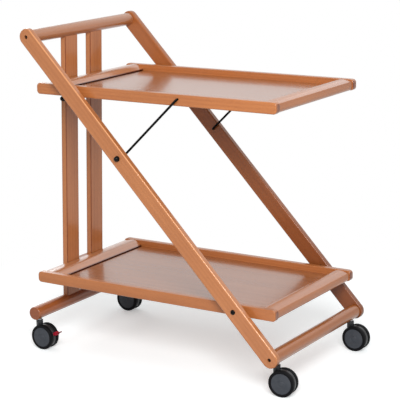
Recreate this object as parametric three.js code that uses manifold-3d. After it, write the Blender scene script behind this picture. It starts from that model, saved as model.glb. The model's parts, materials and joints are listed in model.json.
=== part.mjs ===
// A folding serving trolley: two slanted legs, a two-slat rear frame, two wooden tray shelves,
// steel stays and four twin-wheel casters. Millimetres, +X forward (away from the handle), +Z up.
// The origin is on the floor, in the middle of the trolley's length and width.
import * as THREE from 'three';
import { mergeVertices } from 'three/addons/utils/BufferGeometryUtils.js';
import Module from 'manifold-3d';

const wasm = await Module();
wasm.setup();

// Driving dimensions

// Overall frame; places along X are counted from the handle's axis
const handleHeight = 820;        // handle axis above the floor
const legRun = 686.5;            // handle axis to front bar axis, along X
const rearBarSetback = 26;       // rear bar axis behind the handle axis
const overallWidth = 457;        // over the outer faces of the legs
const handleRadius = 16.4;
const footBarRadius = 17.3;      // front and rear cross bars
const turnedBarGap = 0.6;        // rear bar's end to the leg, which swings past it
const seatGap = 0.3;             // between pieces that sit on one another
const runGap = 0.3;              // round a pin or rod that turns in its hole
const overrun = 2;               // how far a cut runs past the surface that it opens

// Slanted legs
const legWidth = 42.2;
const legThickness = 16;
const legEdge = 1.4;             // chamfer along the leg's edges
const stayPivotDown = 388;       // along the leg, from the handle axis

// Rear slats
const slatWidth = 52;
const slatThickness = 16.1;
const slatSpacing = 106.5;       // centre to centre
const slatCorner = 1.9;          // rounding seen from the side
const slatEdge = 1.1;            // chamfer seen from the front
const tenonDepth = 11;
const tenonThickness = 8;
const tenonShoulder = 4;         // narrower than the slat at each side
const rodDrop = 30.8;            // rod through the slats, below the upper shelf's underside
const rodRadius = 3;
const capNutRadius = 7.2;
const capNutHeight = 9;
const washerThickness = 1.2;

// Shelves
const shelfClearance = 11;       // side rail to the leg
const upperShelfTop = 703.2;     // top of the side rails above the floor
const lowerShelfTop = 209.6;
const upperShelfLength = 689.6;
const lowerShelfLength = 705;
const upperShelfStandoff = 4.6;  // shelf's rear face to the slats
const lowerShelfStandoff = 1;
const railHeight = 27.9;
const railThickness = 17;        // side rails
const railEndRadius = 9;
const railEdge = 2.2;
const endRailWidth = 56;         // front and rear rails, from the outer face to the lip
const endRailSetback = 3;        // their outer faces behind the side rails' ends
const endRailDrop = 0.8;         // their crest below the side rails' top
const crestInset = 30;           // crest, from the outer face
const arrisHeight = 23;          // edge between the domed top and the outer face
const arrisInset = 1.2;          // and how far in it lies
const lipHeight = 13.6;          // underside of the lip above the rail's underside
const lipThickness = 1.4;
const ledgeHeight = 7.6;         // ledge that carries the panel
const noseRadius = 10;           // rounded lower outer edge
const panelThickness = 4;
const tongueThickness = 2.6;     // panel's thinner border, which sits in the rails
const panelSeat = 7;             // how deep the panel sits in a side rail
const endSeat = 13;              // how deep it sits under a lip

// Upper shelf's hinge block, between the slats
const blockGap = 1.2;            // to each slat
const blockBoss = 12;            // radius round the rod
const blockPadLength = 50;
const blockPadThickness = 11;
const blockPadInset = 5;         // pad's rear end, from the shelf's rear face

// Stays
const stayRadius = 2.9;
const stayClearance = 1.3;       // rod to the shelf's side face
const stayPinBack = 422.4;       // upper pin, from the shelf's rear end
const stayPinHeight = 16.7;      // upper pin above the rail's underside
const stayBendInside = 3.1;      // radius inside the rod's bend at the leg
const stayTipInside = 0.5;       // and inside its bend at the shelf

// Lower shelf's pivots and slider
const pivotBelowTop = 10.4;      // leg pivots below the lower shelf's top
const pivotBoltRadius = 3;
const pivotHeadRadius = 6.2;
const pivotHeadHeight = 2.6;
const spacerRadius = 8;
const sliderGap = 0.7;           // to each slat
const sliderTop = 7.2;           // above the hinge pin
const sliderFoot = 34;           // below the hinge pin
const sliderPlate = 6;           // plate behind the slats
const sliderPlateWing = 13;      // how far the plate reaches behind each slat
const sliderNose = 7.2;          // radius of the nose round the hinge pin
const hingePinRadius = 3;
const hingePinWing = 12;         // pin's reach into the rail at each side
const notchGap = 1.5;            // round the nose

// Screws that hold the bars to the legs
const screwHeadRadius = 4.3;
const screwHeadHeight = 3.4;
const screwRadius = 2.4;
const screwLength = 28;          // stops short of the caster stems
const screwSink = 2.5;           // head below the leg's face
const counterboreRadius = 4.8;

// Casters
const casterInset = 36.5;        // stem axis to the leg's outer face
const casterHeight = 79;         // floor to the bar
const wheelRadius = 33;
const wheelWidth = 11;
const wheelGap = 11;             // between the two wheels
const trail = 16.5;              // wheel axle in front of the stem
const frontRightTurn = 6;        // degrees to the left that this caster is swivelled at rest
const treadRound = 2.6;
const hubRadius = 25.8;
const hubDish = 1.4;
const capRadius = 8;
const axleRadius = 3;
const axleCover = 3.2;           // wheel's wall outside the axle's end
const collarRadius = 6.4;
const stemRadius = 4;
const stemLength = 22;           // into the bar
const stemSocket = 12;           // into the housing
const webRadius = 31.4;          // housing between the wheels
const webGap = 0.5;              // to each wheel
const webFoot = 20;              // web's flat underside, below the axle
const neckRadius = 9;
const neckHeight = 75.6;         // top of the housing above the floor
const neckGap = 1.2;             // neck to the treads

// Brake lever: an arm in the housing's slot, a block outside it and a thin tip to press
const leverPivotRadius = 28;     // from the axle
const leverPivotAngle = 17;      // degrees above forward
const leverSlope = 22;           // degrees, rising towards the tip
const leverBoss = 4.2;
const leverArmThickness = 5;
const leverArmWidth = 6.4;
const leverSlotGap = 0.6;        // to each side of the slot
const leverNotchGap = 1.6;       // round the boss
const leverPinRadius = 1.5;
const leverPinInset = 0.3;       // pin's end to the housing's side
const leverBlockStart = 7.6;     // from the pivot
const leverBlockEnd = 17;
const leverBlockThickness = 9.6;
const leverBlockWidth = 10;
const leverTipEnd = 27;
const leverTipThickness = 3;
const leverTipWidth = 11.6;

// Worked out from the sizes above

const degrees = THREE.MathUtils.degToRad;
const barHeight = casterHeight + footBarRadius;
const legDrop = handleHeight - barHeight;
const legLength = Math.hypot(legRun, legDrop);
const legPitch = Math.atan2(legDrop, legRun);
const rearLean = Math.atan2(rearBarSetback, legDrop);
const legOuter = overallWidth / 2;
const legInner = legOuter - legThickness;
const shelfOuter = legInner - shelfClearance;
const shelfInner = shelfOuter - railThickness;
const casterY = legOuter - casterInset;
const slatY = slatSpacing / 2;
const slatInner = slatY - slatWidth / 2;

// X of the slats' centre line at a height, and of their front face
const slatLineX = (z) => -rearBarSetback * (handleHeight - z) / legDrop;
const slatFrontX = (z) => slatLineX(z) + slatThickness / 2 / Math.cos(rearLean);

const legPoint = (down) => ({
  x: down * Math.cos(legPitch),
  z: handleHeight - down * Math.sin(legPitch),
});
const stayPivot = legPoint(stayPivotDown);
const shelfPivotDown = (handleHeight - lowerShelfTop + pivotBelowTop) / Math.sin(legPitch);

// The front casters reach furthest forward, the turned one with the rim of its outer wheel
const wheelInner = wheelGap / 2;
const rimSide = wheelInner + wheelWidth - treadRound;
const turned = degrees(frontRightTurn);
const straightReach = trail + wheelRadius;
const turnedReach = straightReach * Math.cos(turned) + rimSide * Math.abs(Math.sin(turned));
const foremost = legRun + Math.max(straightReach, turnedReach);
const rearmost = -rearBarSetback - footBarRadius;
const middleX = (rearmost + foremost) / 2;

// Materials

const wood = new THREE.MeshStandardMaterial({ color: 0xb5713f, roughness: 0.38, metalness: 0 });
const panelWood = new THREE.MeshStandardMaterial({ color: 0xb07549, roughness: 0.3, metalness: 0 });
const blackSteel = new THREE.MeshStandardMaterial({ color: 0x17171a, roughness: 0.4, metalness: 0.8 });
const blackPlastic = new THREE.MeshStandardMaterial({ color: 0x222328, roughness: 0.5, metalness: 0 });
const treadRubber = new THREE.MeshStandardMaterial({ color: 0x2b2c31, roughness: 0.6, metalness: 0 });
const redPlastic = new THREE.MeshStandardMaterial({ color: 0x9c2b2b, roughness: 0.45, metalness: 0 });
const steel = new THREE.MeshStandardMaterial({ color: 0xa4a6aa, roughness: 0.35, metalness: 1 });

// Geometry helpers

const weldDistance = 1e-4;

function solid(geometry) {
  const bare = geometry.index ? geometry.toNonIndexed() : geometry.clone();
  bare.deleteAttribute('normal');
  bare.deleteAttribute('uv');
  const merged = mergeVertices(bare, weldDistance);
  return new wasm.Manifold(new wasm.Mesh({
    numProp: 3,
    vertProperties: new Float32Array(merged.attributes.position.array),
    triVerts: new Uint32Array(merged.index.array),
  }));
}

function geometryOf(body) {
  const mesh = body.getMesh();
  const geometry = new THREE.BufferGeometry();
  const points = new Float32Array(mesh.vertProperties);
  geometry.setAttribute('position', new THREE.BufferAttribute(points, 3));
  geometry.setIndex(new THREE.BufferAttribute(new Uint32Array(mesh.triVerts), 1));
  return geometry;
}

function cut(geometry, ...tools) {
  let body = solid(geometry);
  for (const tool of tools) body = body.subtract(solid(tool));
  return geometryOf(body);
}

function join(geometry, ...others) {
  let body = solid(geometry);
  for (const other of others) body = body.add(solid(other));
  return geometryOf(body);
}

function box(x0, x1, y0, y1, z0, z1) {
  const geometry = new THREE.BoxGeometry(x1 - x0, y1 - y0, z1 - z0);
  return geometry.translate((x0 + x1) / 2, (y0 + y1) / 2, (z0 + z1) / 2);
}

// A round bar along Y
function rodY(radius, y0, y1, x = 0, z = 0, sides = 24) {
  return new THREE.CylinderGeometry(radius, radius, y1 - y0, sides)
    .translate(x, (y0 + y1) / 2, z);
}

// A round bar along Z
function rodZ(radius, z0, z1, x = 0, y = 0, sides = 24) {
  return new THREE.CylinderGeometry(radius, radius, z1 - z0, sides)
    .rotateX(Math.PI / 2)
    .translate(x, y, (z0 + z1) / 2);
}

// A side-view outline, x and z, given a thickness along Y with chamfered edges
function sidePlate(shape, y0, y1, edge = 0, curveSegments = 6) {
  const geometry = new THREE.ExtrudeGeometry(shape, {
    depth: y1 - y0 - edge * 2,
    bevelEnabled: edge > 0,
    bevelSize: edge,
    bevelThickness: edge,
    bevelOffset: -edge,
    bevelSegments: 1,
    curveSegments,
  });
  return geometry.rotateX(Math.PI / 2).translate(0, y1 - edge, 0);
}

// Turned shape about Y: points are [radius, y]
function turnedY(points, sides = 28) {
  return new THREE.LatheGeometry(points.map(([r, y]) => new THREE.Vector2(r, y)), sides);
}

function roundedBar(length, width) {
  const shape = new THREE.Shape();
  const r = width / 2;
  shape.absarc(length, 0, r, -Math.PI / 2, Math.PI / 2, false);
  shape.absarc(0, 0, r, Math.PI / 2, Math.PI * 3 / 2, false);
  return shape;
}

function roundedRectangle(x0, x1, z0, z1, r) {
  const shape = new THREE.Shape();
  shape.absarc(x1 - r, z0 + r, r, -Math.PI / 2, 0, false);
  shape.absarc(x1 - r, z1 - r, r, 0, Math.PI / 2, false);
  shape.absarc(x0 + r, z1 - r, r, Math.PI / 2, Math.PI, false);
  shape.absarc(x0 + r, z0 + r, r, Math.PI, Math.PI * 3 / 2, false);
  return shape;
}

function place(parent, name, geometry, material) {
  const mesh = new THREE.Mesh(geometry, material);
  mesh.name = name;
  parent.add(mesh);
  return mesh;
}

// The mirror image across the middle plane, for the left side (+Y)
function mirrorY(geometry) {
  const mirrored = geometry.clone().scale(1, -1, 1);
  const corners = mirrored.attributes.position.count;
  if (!mirrored.index) mirrored.setIndex([...Array(corners).keys()]);
  const { index } = mirrored;
  for (let i = 0; i < index.count; i += 3) {
    const first = index.getX(i);
    index.setX(i, index.getX(i + 1));
    index.setX(i + 1, first);
  }
  return mirrored;
}

// Right-hand pieces (-Y) are modelled; the left-hand ones are their mirror images
function placePair(parent, name, geometry, material) {
  place(parent, `right_${name}`, geometry, material);
  place(parent, `left_${name}`, mirrorY(geometry), material);
}

const trolley = new THREE.Group();
trolley.name = 'folding_serving_trolley';
trolley.position.x = -middleX;

// Frame: rear frame and legs

// Both foot bars hold the caster stems; the rear one also holds the slats' tenons
const stemBores = (y) => [-y, y].map((side) => rodZ(
  stemRadius + runGap, -footBarRadius - overrun, -footBarRadius + stemLength + seatGap, 0, side));
const screwTip = legOuter - screwSink - screwLength;
const screwBores = (halfLength) => [-1, 1].map((side) => {
  const [from, to] = [side * (screwTip - seatGap), side * (halfLength + overrun)].sort((m, n) => m - n);
  return rodY(screwRadius + runGap, from, to, 0, 0, 12);
});

const tenonHalfWidth = slatWidth / 2 - tenonShoulder;

// How far from a bar's axis the slats' faces meet it
const faceReach = (radius) => Math.sqrt(radius ** 2 - (slatThickness / 2) ** 2);
const handleReach = faceReach(handleRadius);
const footReach = faceReach(footBarRadius);

// Mortises for the slats' tenons; end is +1 in a bar above the slats and -1 in one below
function mortises(end, radius) {
  return [-slatY, slatY].map((y) => {
    const deep = end * (tenonDepth + seatGap - faceReach(radius));
    const open = -end * (radius + overrun);
    const z = [deep, open].sort((a, b) => a - b);
    const half = tenonThickness / 2 + seatGap;
    return box(-half, half, y - tenonHalfWidth - seatGap, y + tenonHalfWidth + seatGap, z[0], z[1])
      .rotateY(rearLean);
  });
}

const handleHalf = legInner - seatGap;
const handleBar = cut(
  rodY(handleRadius, -handleHalf, handleHalf, 0, 0, 32),
  ...mortises(1, handleRadius), ...screwBores(handleHalf));
place(trolley, 'handle_bar', handleBar.translate(0, 0, handleHeight), wood);

const frontBar = cut(
  rodY(footBarRadius, -handleHalf, handleHalf, 0, 0, 32),
  ...screwBores(handleHalf), ...stemBores(casterY));
place(trolley, 'front_cross_bar', frontBar.translate(legRun, 0, barHeight), wood);

const rearHalf = legInner - turnedBarGap;
const rearBar = cut(
  rodY(footBarRadius, -rearHalf, rearHalf, 0, 0, 32),
  ...mortises(-1, footBarRadius), ...stemBores(casterY));
place(trolley, 'rear_cross_bar', rearBar.translate(-rearBarSetback, 0, barHeight), wood);

// Slats run between the handle bar and the rear bar, with a tenon at each end
const slatGroup = new THREE.Group();
slatGroup.position.set(0, 0, handleHeight);
slatGroup.rotation.y = rearLean;
trolley.add(slatGroup);

const slatLine = Math.hypot(legDrop, rearBarSetback);
const rodHeight = upperShelfTop - railHeight - rodDrop;
const rodDown = (handleHeight - rodHeight) / Math.cos(rearLean);

function slat() {
  const outline = roundedRectangle(
    -slatThickness / 2, slatThickness / 2, -slatLine, 0, slatCorner);
  const blank = sidePlate(outline, -slatY - slatWidth / 2, -slatY + slatWidth / 2, slatEdge, 3);
  const shouldered = cut(
    blank,
    rodY(handleRadius + seatGap, -slatY - slatWidth, -slatY + slatWidth, 0, 0, 32),
    rodY(footBarRadius + seatGap, -slatY - slatWidth, -slatY + slatWidth, 0, -slatLine, 32),
    rodY(rodRadius + runGap, -slatY - slatWidth, -slatY + slatWidth, 0, -rodDown, 20));
  const tenons = [
    [-handleReach - overrun, tenonDepth - handleReach],
    [-slatLine + footReach - tenonDepth, -slatLine + footReach + overrun],
  ].map(([z0, z1]) => box(
    -tenonThickness / 2, tenonThickness / 2,
    -slatY - tenonHalfWidth, -slatY + tenonHalfWidth, z0, z1));
  return join(shouldered, ...tenons);
}
placePair(slatGroup, 'rear_slat', slat(), wood);

// Threaded rod through both slats, with a washer-faced cap nut at each end
const slatOuter = slatY + slatWidth / 2;
const rodEnd = slatOuter + seatGap + washerThickness + capNutHeight / 2;
place(slatGroup, 'shelf_hinge_rod', rodY(rodRadius, -rodEnd, rodEnd, 0, -rodDown, 20), steel);

// Cap nut with its flat side towards +Y and its dome towards -Y, bored for a rod
function capNut(boreRadius) {
  const flange = capNutRadius;
  const dome = capNutRadius * Math.SQRT1_2;
  const bore = capNutHeight / 2 + washerThickness + seatGap;
  return turnedY([
    [0, -capNutHeight - washerThickness],
    [dome * 0.6, -capNutHeight * 0.93 - washerThickness],
    [dome, -capNutHeight * 0.72 - washerThickness],
    [flange * 0.86, -capNutHeight * 0.45 - washerThickness],
    [flange * 0.9, -washerThickness],
    [flange, -washerThickness],
    [flange, 0],
    [boreRadius, 0],
    [boreRadius, -bore],
    [0, -bore],
  ], 12);
}
const rodNut = capNut(rodRadius + runGap / 2).translate(0, -slatOuter - seatGap, -rodDown);
placePair(slatGroup, 'rod_cap_nut', rodNut, blackSteel);

// Legs: long plates with round ends, bored for the screws and pivots
const legGroup = new THREE.Group();
legGroup.position.set(0, 0, handleHeight);
legGroup.rotation.y = legPitch;
trolley.add(legGroup);

const legHole = (down, radius) => rodY(
  radius, -legOuter - overrun, -legInner + overrun, down, 0, 12);
const legSink = (down, radius, depth) => rodY(
  radius, -legOuter - overrun, -legOuter + depth, down, 0, 16);
const headDepth = screwSink + screwHeadHeight + seatGap;
const leg = cut(
  sidePlate(roundedBar(legLength, legWidth), -legOuter, -legInner, legEdge, 10),
  legHole(0, screwRadius + runGap),
  legHole(legLength, screwRadius + runGap),
  legSink(0, counterboreRadius, headDepth),
  legSink(legLength, counterboreRadius, headDepth),
  legHole(stayPivotDown, stayRadius + runGap),
  legHole(shelfPivotDown, pivotBoltRadius + runGap));
placePair(legGroup, 'leg', leg, wood);

// Screws through the legs into the bars' ends
function barScrew(down) {
  const head = -legOuter + screwSink;
  const socketRadius = screwHeadRadius / 2;
  const socketDepth = screwHeadHeight * 0.6;
  return turnedY([
    [0, head + socketDepth],
    [socketRadius, head + socketDepth],
    [socketRadius, head],
    [screwHeadRadius, head],
    [screwHeadRadius, head + screwHeadHeight],
    [screwRadius, head + screwHeadHeight],
    [screwRadius, head + screwLength - screwRadius],
    [0, head + screwLength],
  ], 12).translate(down, 0, 0);
}
placePair(legGroup, 'handle_screw', barScrew(0), blackSteel);
placePair(legGroup, 'foot_screw', barScrew(legLength), blackSteel);

// Shelf pivot bolts and the spacers between each leg and the lower shelf
const pivotBolt = turnedY([
  [0, -legOuter - seatGap - pivotHeadHeight],
  [pivotHeadRadius * 0.7, -legOuter - seatGap - pivotHeadHeight],
  [pivotHeadRadius, -legOuter - seatGap - pivotHeadHeight * 0.4],
  [pivotHeadRadius, -legOuter - seatGap],
  [pivotBoltRadius, -legOuter - seatGap],
  [pivotBoltRadius, -shelfOuter - seatGap * 2],
  [0, -shelfOuter - seatGap * 2],
], 12).translate(shelfPivotDown, 0, 0);
placePair(legGroup, 'shelf_pivot_bolt', pivotBolt, blackSteel);

const spacer = cut(
  rodY(spacerRadius, -legInner + seatGap, -shelfOuter - seatGap, shelfPivotDown, 0, 16),
  rodY(pivotBoltRadius + runGap, -legOuter, -shelfInner, shelfPivotDown, 0, 12));
placePair(legGroup, 'shelf_pivot_spacer', spacer, blackPlastic);

// Tray shelves

// Side view of a front or rear rail: u from the outer face inwards, v up from the underside.
// A shallow dome falls to an edge above the slightly rounded outer face, and inwards to a thin lip
// that overhangs the panel.
function endRailProfile(toX, baseZ) {
  const crest = railHeight - endRailDrop;
  const shape = new THREE.Shape();
  const at = (u, v) => [toX(u), baseZ + v];
  const slotInner = endRailWidth - endSeat - seatGap;
  shape.moveTo(...at(noseRadius, 0));
  shape.lineTo(...at(endRailWidth, 0));
  shape.lineTo(...at(endRailWidth, ledgeHeight));
  shape.lineTo(...at(slotInner, ledgeHeight));
  shape.lineTo(...at(slotInner, lipHeight));
  shape.lineTo(...at(endRailWidth, lipHeight));
  shape.lineTo(...at(endRailWidth, lipHeight + lipThickness));
  shape.bezierCurveTo(
    ...at((endRailWidth + crestInset) / 2, (lipHeight + lipThickness + crest) / 2 + lipThickness),
    ...at(crestInset * 1.3, crest),
    ...at(crestInset, crest));
  shape.bezierCurveTo(
    ...at(crestInset * 0.6, crest),
    ...at(crestInset * 0.3, (crest + arrisHeight) / 2),
    ...at(arrisInset, arrisHeight));
  shape.bezierCurveTo(
    ...at(0, arrisHeight * 0.86), ...at(0, noseRadius * 1.4), ...at(0, noseRadius));
  shape.bezierCurveTo(
    ...at(0, noseRadius * 0.45), ...at(noseRadius * 0.45, 0), ...at(noseRadius, 0));
  return shape;
}

const panelBase = ledgeHeight + seatGap;
const tongueTop = panelBase + tongueThickness;

// One tray: two side rails at full length, front and rear rails between them, and a panel
function tray(name, rearX, length, topZ, rearCuts = []) {
  const baseZ = topZ - railHeight;
  const frontX = rearX + length;
  const shelf = new THREE.Group();
  trolley.add(shelf);

  const outline = roundedRectangle(rearX, frontX, baseZ, topZ, railEndRadius);
  const slot = box(
    rearX + endRailSetback + endRailWidth - endSeat - seatGap,
    frontX - endRailSetback - endRailWidth + endSeat + seatGap,
    -shelfInner - panelSeat - seatGap, -shelfInner + overrun,
    baseZ + panelBase - seatGap, baseZ + tongueTop + seatGap);
  const sideRail = cut(sidePlate(outline, -shelfOuter, -shelfInner, railEdge, 4), slot);
  place(shelf, `${name}_right_rail`, sideRail, wood);
  place(shelf, `${name}_left_rail`, mirrorY(sideRail), wood);

  const half = shelfInner - seatGap;
  const rearFace = rearX + endRailSetback;
  const frontFace = frontX - endRailSetback;
  const rear = sidePlate(endRailProfile((u) => rearFace + u, baseZ), -half, half, 0, 6);
  const front = sidePlate(endRailProfile((u) => frontFace - u, baseZ), -half, half, 0, 6);
  place(shelf, `${name}_rear_rail`, rearCuts.length ? cut(rear, ...rearCuts) : rear, wood);
  place(shelf, `${name}_front_rail`, front, wood);

  const fieldEnd = endRailSetback + endRailWidth + seatGap;
  const tongueEnd = fieldEnd - seatGap - endSeat;
  const tongue = box(
    rearX + tongueEnd, frontX - tongueEnd,
    -shelfInner - panelSeat, shelfInner + panelSeat,
    baseZ + panelBase, baseZ + tongueTop);
  const field = box(
    rearX + fieldEnd, frontX - fieldEnd, -half, half,
    baseZ + panelBase, baseZ + panelBase + panelThickness);
  place(shelf, `${name}_panel`, join(tongue, field), panelWood);
  return { shelf, baseZ, rearFace };
}

const upperRearX = slatFrontX(upperShelfTop) + upperShelfStandoff - endRailSetback;
const upper = tray('upper_shelf', upperRearX, upperShelfLength, upperShelfTop);

// Hinge block under the upper shelf's rear rail: it reaches back between the slats to the rod
const rodX = slatLineX(rodHeight);
const blockHalf = slatInner - blockGap;
const padRear = upper.rearFace + blockPadInset;
const padTop = upper.baseZ - seatGap;
const blockShape = new THREE.Shape();
const bossTangent = degrees(120);
const bossSweep = degrees(183.6);
blockShape.absarc(rodX, rodHeight, blockBoss, bossTangent, bossTangent + bossSweep, false);
blockShape.lineTo(padRear + blockPadLength, padTop - blockPadThickness);
blockShape.lineTo(padRear + blockPadLength, padTop);
blockShape.lineTo(padRear, padTop);
const hingeBlock = cut(
  sidePlate(blockShape, -blockHalf, blockHalf, 0, 8),
  rodY(rodRadius + runGap, -blockHalf - overrun, blockHalf + overrun, rodX, rodHeight, 20));
place(upper.shelf, 'upper_shelf_hinge_block', hingeBlock, wood);

// Lower shelf, hinged at its rear on a slider that runs between the slats
const lowerBaseZ = lowerShelfTop - railHeight;
const lowerRearX = slatFrontX(lowerBaseZ + noseRadius) + lowerShelfStandoff - endRailSetback;
const hingeX = lowerRearX + endRailSetback + noseRadius;
const hingeZ = lowerBaseZ + noseRadius;
const sliderHalf = slatInner - sliderGap;
const notchHalf = sliderHalf + notchGap;
const notchSide = noseRadius + sliderNose + notchGap;
const noseNotch = box(
  hingeX - noseRadius - overrun, hingeX - noseRadius + notchSide,
  -notchHalf, notchHalf,
  hingeZ - noseRadius - overrun, hingeZ - noseRadius + notchSide);
const pinHalf = notchHalf + hingePinWing;
const pinBore = rodY(
  hingePinRadius + runGap, -pinHalf - seatGap, pinHalf + seatGap, hingeX, hingeZ, 20);
const lower = tray('lower_shelf', lowerRearX, lowerShelfLength, lowerShelfTop, [noseNotch, pinBore]);
place(lower.shelf, 'lower_shelf_hinge_pin',
  rodY(hingePinRadius, -pinHalf, pinHalf, hingeX, hingeZ, 20), steel);

// Slider: a block in the gap between the slats, a plate behind them and a nose for the pin
const sliderDown = (handleHeight - hingeZ) * Math.cos(rearLean)
  - hingeX * Math.sin(rearLean);
const noseOut = hingeX * Math.cos(rearLean) + (handleHeight - hingeZ) * Math.sin(rearLean);
const slatFace = slatThickness / 2;
const sliderBody = join(
  box(-slatFace - seatGap - sliderPlate, slatFace, -sliderHalf, sliderHalf,
    -sliderDown - sliderFoot, -sliderDown + sliderTop),
  box(-slatFace - seatGap - sliderPlate, -slatFace - seatGap,
    -slatInner - sliderPlateWing, slatInner + sliderPlateWing,
    -sliderDown - sliderFoot, -sliderDown + sliderTop),
  rodY(sliderNose, -sliderHalf, sliderHalf, noseOut, -sliderDown, 28),
  box(slatFace - overrun, noseOut, -sliderHalf, sliderHalf,
    -sliderDown - sliderNose, -sliderDown + sliderNose));
const slider = cut(sliderBody, rodY(
  hingePinRadius + runGap, -sliderHalf - overrun, sliderHalf + overrun, noseOut, -sliderDown, 20));
place(slatGroup, 'lower_shelf_slider', slider, wood);

// Stays: round rods with a bent tip at the shelf and a bent end through each leg

const stayPin = { x: upperRearX + stayPinBack, z: upper.baseZ + stayPinHeight };

// A path given by its stations, each a point and the direction in which the path leaves it
class SteppedPath extends THREE.Curve {
  constructor(stations) {
    super();
    this.stations = stations;
    this.steps = stations.length - 1;
  }

  station(share) {
    return this.stations[Math.round(share * this.steps)];
  }

  getPointAt(share) {
    return this.station(share).point.clone();
  }

  getTangentAt(share) {
    return this.station(share).direction.clone();
  }
}

// Stations on a bend round a centre, between two angles
function bend(centreX, centreY, radius, from, to, steps) {
  const turning = Math.sign(to - from);
  return Array.from({ length: steps + 1 }, (_, i) => {
    const a = from + (to - from) * i / steps;
    return {
      point: new THREE.Vector3(centreX + radius * Math.cos(a), centreY + radius * Math.sin(a), 0),
      direction: new THREE.Vector3(-turning * Math.sin(a), turning * Math.cos(a), 0),
    };
  });
}

// A round rod along a path
function bentRod(stations, radius, sides) {
  const section = new THREE.Shape();
  for (let k = 0; k < sides; k += 1) {
    const a = k / sides * Math.PI * 2;
    const point = [Math.cos(a) * radius, Math.sin(a) * radius];
    if (k === 0) section.moveTo(...point);
    else section.lineTo(...point);
  }
  section.closePath();
  const extrudePath = new SteppedPath(stations);
  return new THREE.ExtrudeGeometry(section, { extrudePath, steps: extrudePath.steps });
}

// From the upper shelf's side along the stay's line, then out through the leg
function stay() {
  const span = Math.hypot(stayPin.x - stayPivot.x, stayPin.z - stayPivot.z);
  const line = -shelfOuter - stayClearance - stayRadius;
  const tipBend = stayRadius + stayTipInside;
  const legBend = stayRadius + stayBendInside;
  const outwards = new THREE.Vector3(0, -1, 0);
  const end = (x, y) => ({ point: new THREE.Vector3(x, y, 0), direction: outwards });
  return bentRod([
    end(span, -shelfOuter - seatGap),
    ...bend(span - tipBend, line + tipBend, tipBend, 0, -Math.PI / 2, 4),
    ...bend(legBend, line - legBend, legBend, Math.PI / 2, Math.PI, 5),
    end(0, -legOuter - seatGap - washerThickness - capNutHeight / 2),
  ], stayRadius, 12);
}

const stayGroup = new THREE.Group();
stayGroup.position.set(stayPivot.x, 0, stayPivot.z);
stayGroup.rotation.y = -Math.atan2(stayPin.z - stayPivot.z, stayPin.x - stayPivot.x);
trolley.add(stayGroup);
placePair(stayGroup, 'stay', stay(), blackSteel);
placePair(stayGroup, 'stay_cap_nut',
  capNut(stayRadius + runGap / 2).translate(0, -legOuter - seatGap, 0), blackSteel);

// Casters

const axleEnd = wheelInner + wheelWidth - axleCover;
const webHalf = wheelInner - webGap;
const neckTop = neckHeight - wheelRadius;

// The wheel on the -Y side of a caster; its axle is the local Y axis
function wheel() {
  const outer = -wheelInner - wheelWidth;
  return turnedY([
    [0, outer - hubDish],
    [capRadius, outer - hubDish],
    [capRadius + hubDish, outer + hubDish / 2],
    [hubRadius, outer + hubDish / 2],
    [hubRadius + hubDish, outer],
    [wheelRadius - treadRound, outer],
    [wheelRadius, outer + treadRound],
    [wheelRadius, -wheelInner - treadRound],
    [wheelRadius - treadRound, -wheelInner],
    [axleRadius + runGap, -wheelInner],
    [axleRadius + runGap, -axleEnd - seatGap],
    [0, -axleEnd - seatGap],
  ], 28);
}

const leverPivot = {
  x: leverPivotRadius * Math.cos(degrees(leverPivotAngle)),
  z: leverPivotRadius * Math.sin(degrees(leverPivotAngle)),
};

// Housing: a web between the wheels, open at the floor, and a round neck under the stem's collar.
// A braked one has a slot for the lever, with a pin hole in each cheek.
function housing(braked) {
  const web = rodY(webRadius, -webHalf, webHalf, 0, 0, 28);
  const neckBase = wheelRadius + neckGap;
  const neck = rodZ(neckRadius, neckBase, neckTop, -trail, 0, 20);
  const bridgeHalf = Math.sqrt(neckRadius ** 2 - webHalf ** 2);
  const bridge = box(
    -trail - bridgeHalf, -trail + bridgeHalf, -webHalf, webHalf, 0, neckBase + overrun);
  const cuts = [
    rodY(axleRadius + runGap, -webHalf - overrun, webHalf + overrun, 0, 0, 12),
    rodZ(stemRadius + runGap, neckTop - stemSocket - seatGap, neckTop + overrun, -trail, 0, 12),
    box(
      -webRadius - overrun, webRadius + overrun, -webHalf - overrun, webHalf + overrun,
      -webRadius - overrun, -webFoot),
  ];
  const { x, z } = leverPivot;
  const slotHalf = leverArmWidth / 2 + leverSlotGap;
  const slots = [
    rodY(leverBoss + leverNotchGap, -slotHalf, slotHalf, x, z, 16),
    rodY(leverPinRadius + runGap, -webHalf - overrun, webHalf + overrun, x, z, 10),
  ];
  return cut(join(web, bridge, neck), ...cuts, ...(braked ? slots : []));
}

// Stem: a collar between the bar and the neck, on a post that goes into both
function stem() {
  const barBottom = casterHeight - wheelRadius;
  const collar = rodZ(collarRadius, neckTop + runGap, barBottom - seatGap, -trail, 0, 20);
  const post = rodZ(stemRadius, neckTop - stemSocket, barBottom + stemLength, -trail, 0, 12);
  return join(collar, post);
}

// Brake lever about its pins, level
function lever() {
  const pinHalf = webHalf - leverPinInset;
  const bar = (from, to, width, thickness) => box(
    from, to, -width / 2, width / 2, -thickness / 2, thickness / 2);
  return join(
    rodY(leverBoss, -leverArmWidth / 2, leverArmWidth / 2, 0, 0, 16),
    rodY(leverPinRadius, -pinHalf, pinHalf, 0, 0, 10),
    bar(0, leverBlockStart + overrun, leverArmWidth, leverArmThickness),
    bar(leverBlockStart, leverBlockEnd, leverBlockWidth, leverBlockThickness),
    bar(leverBlockEnd - overrun, leverTipEnd, leverTipWidth, leverTipThickness));
}

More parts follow.
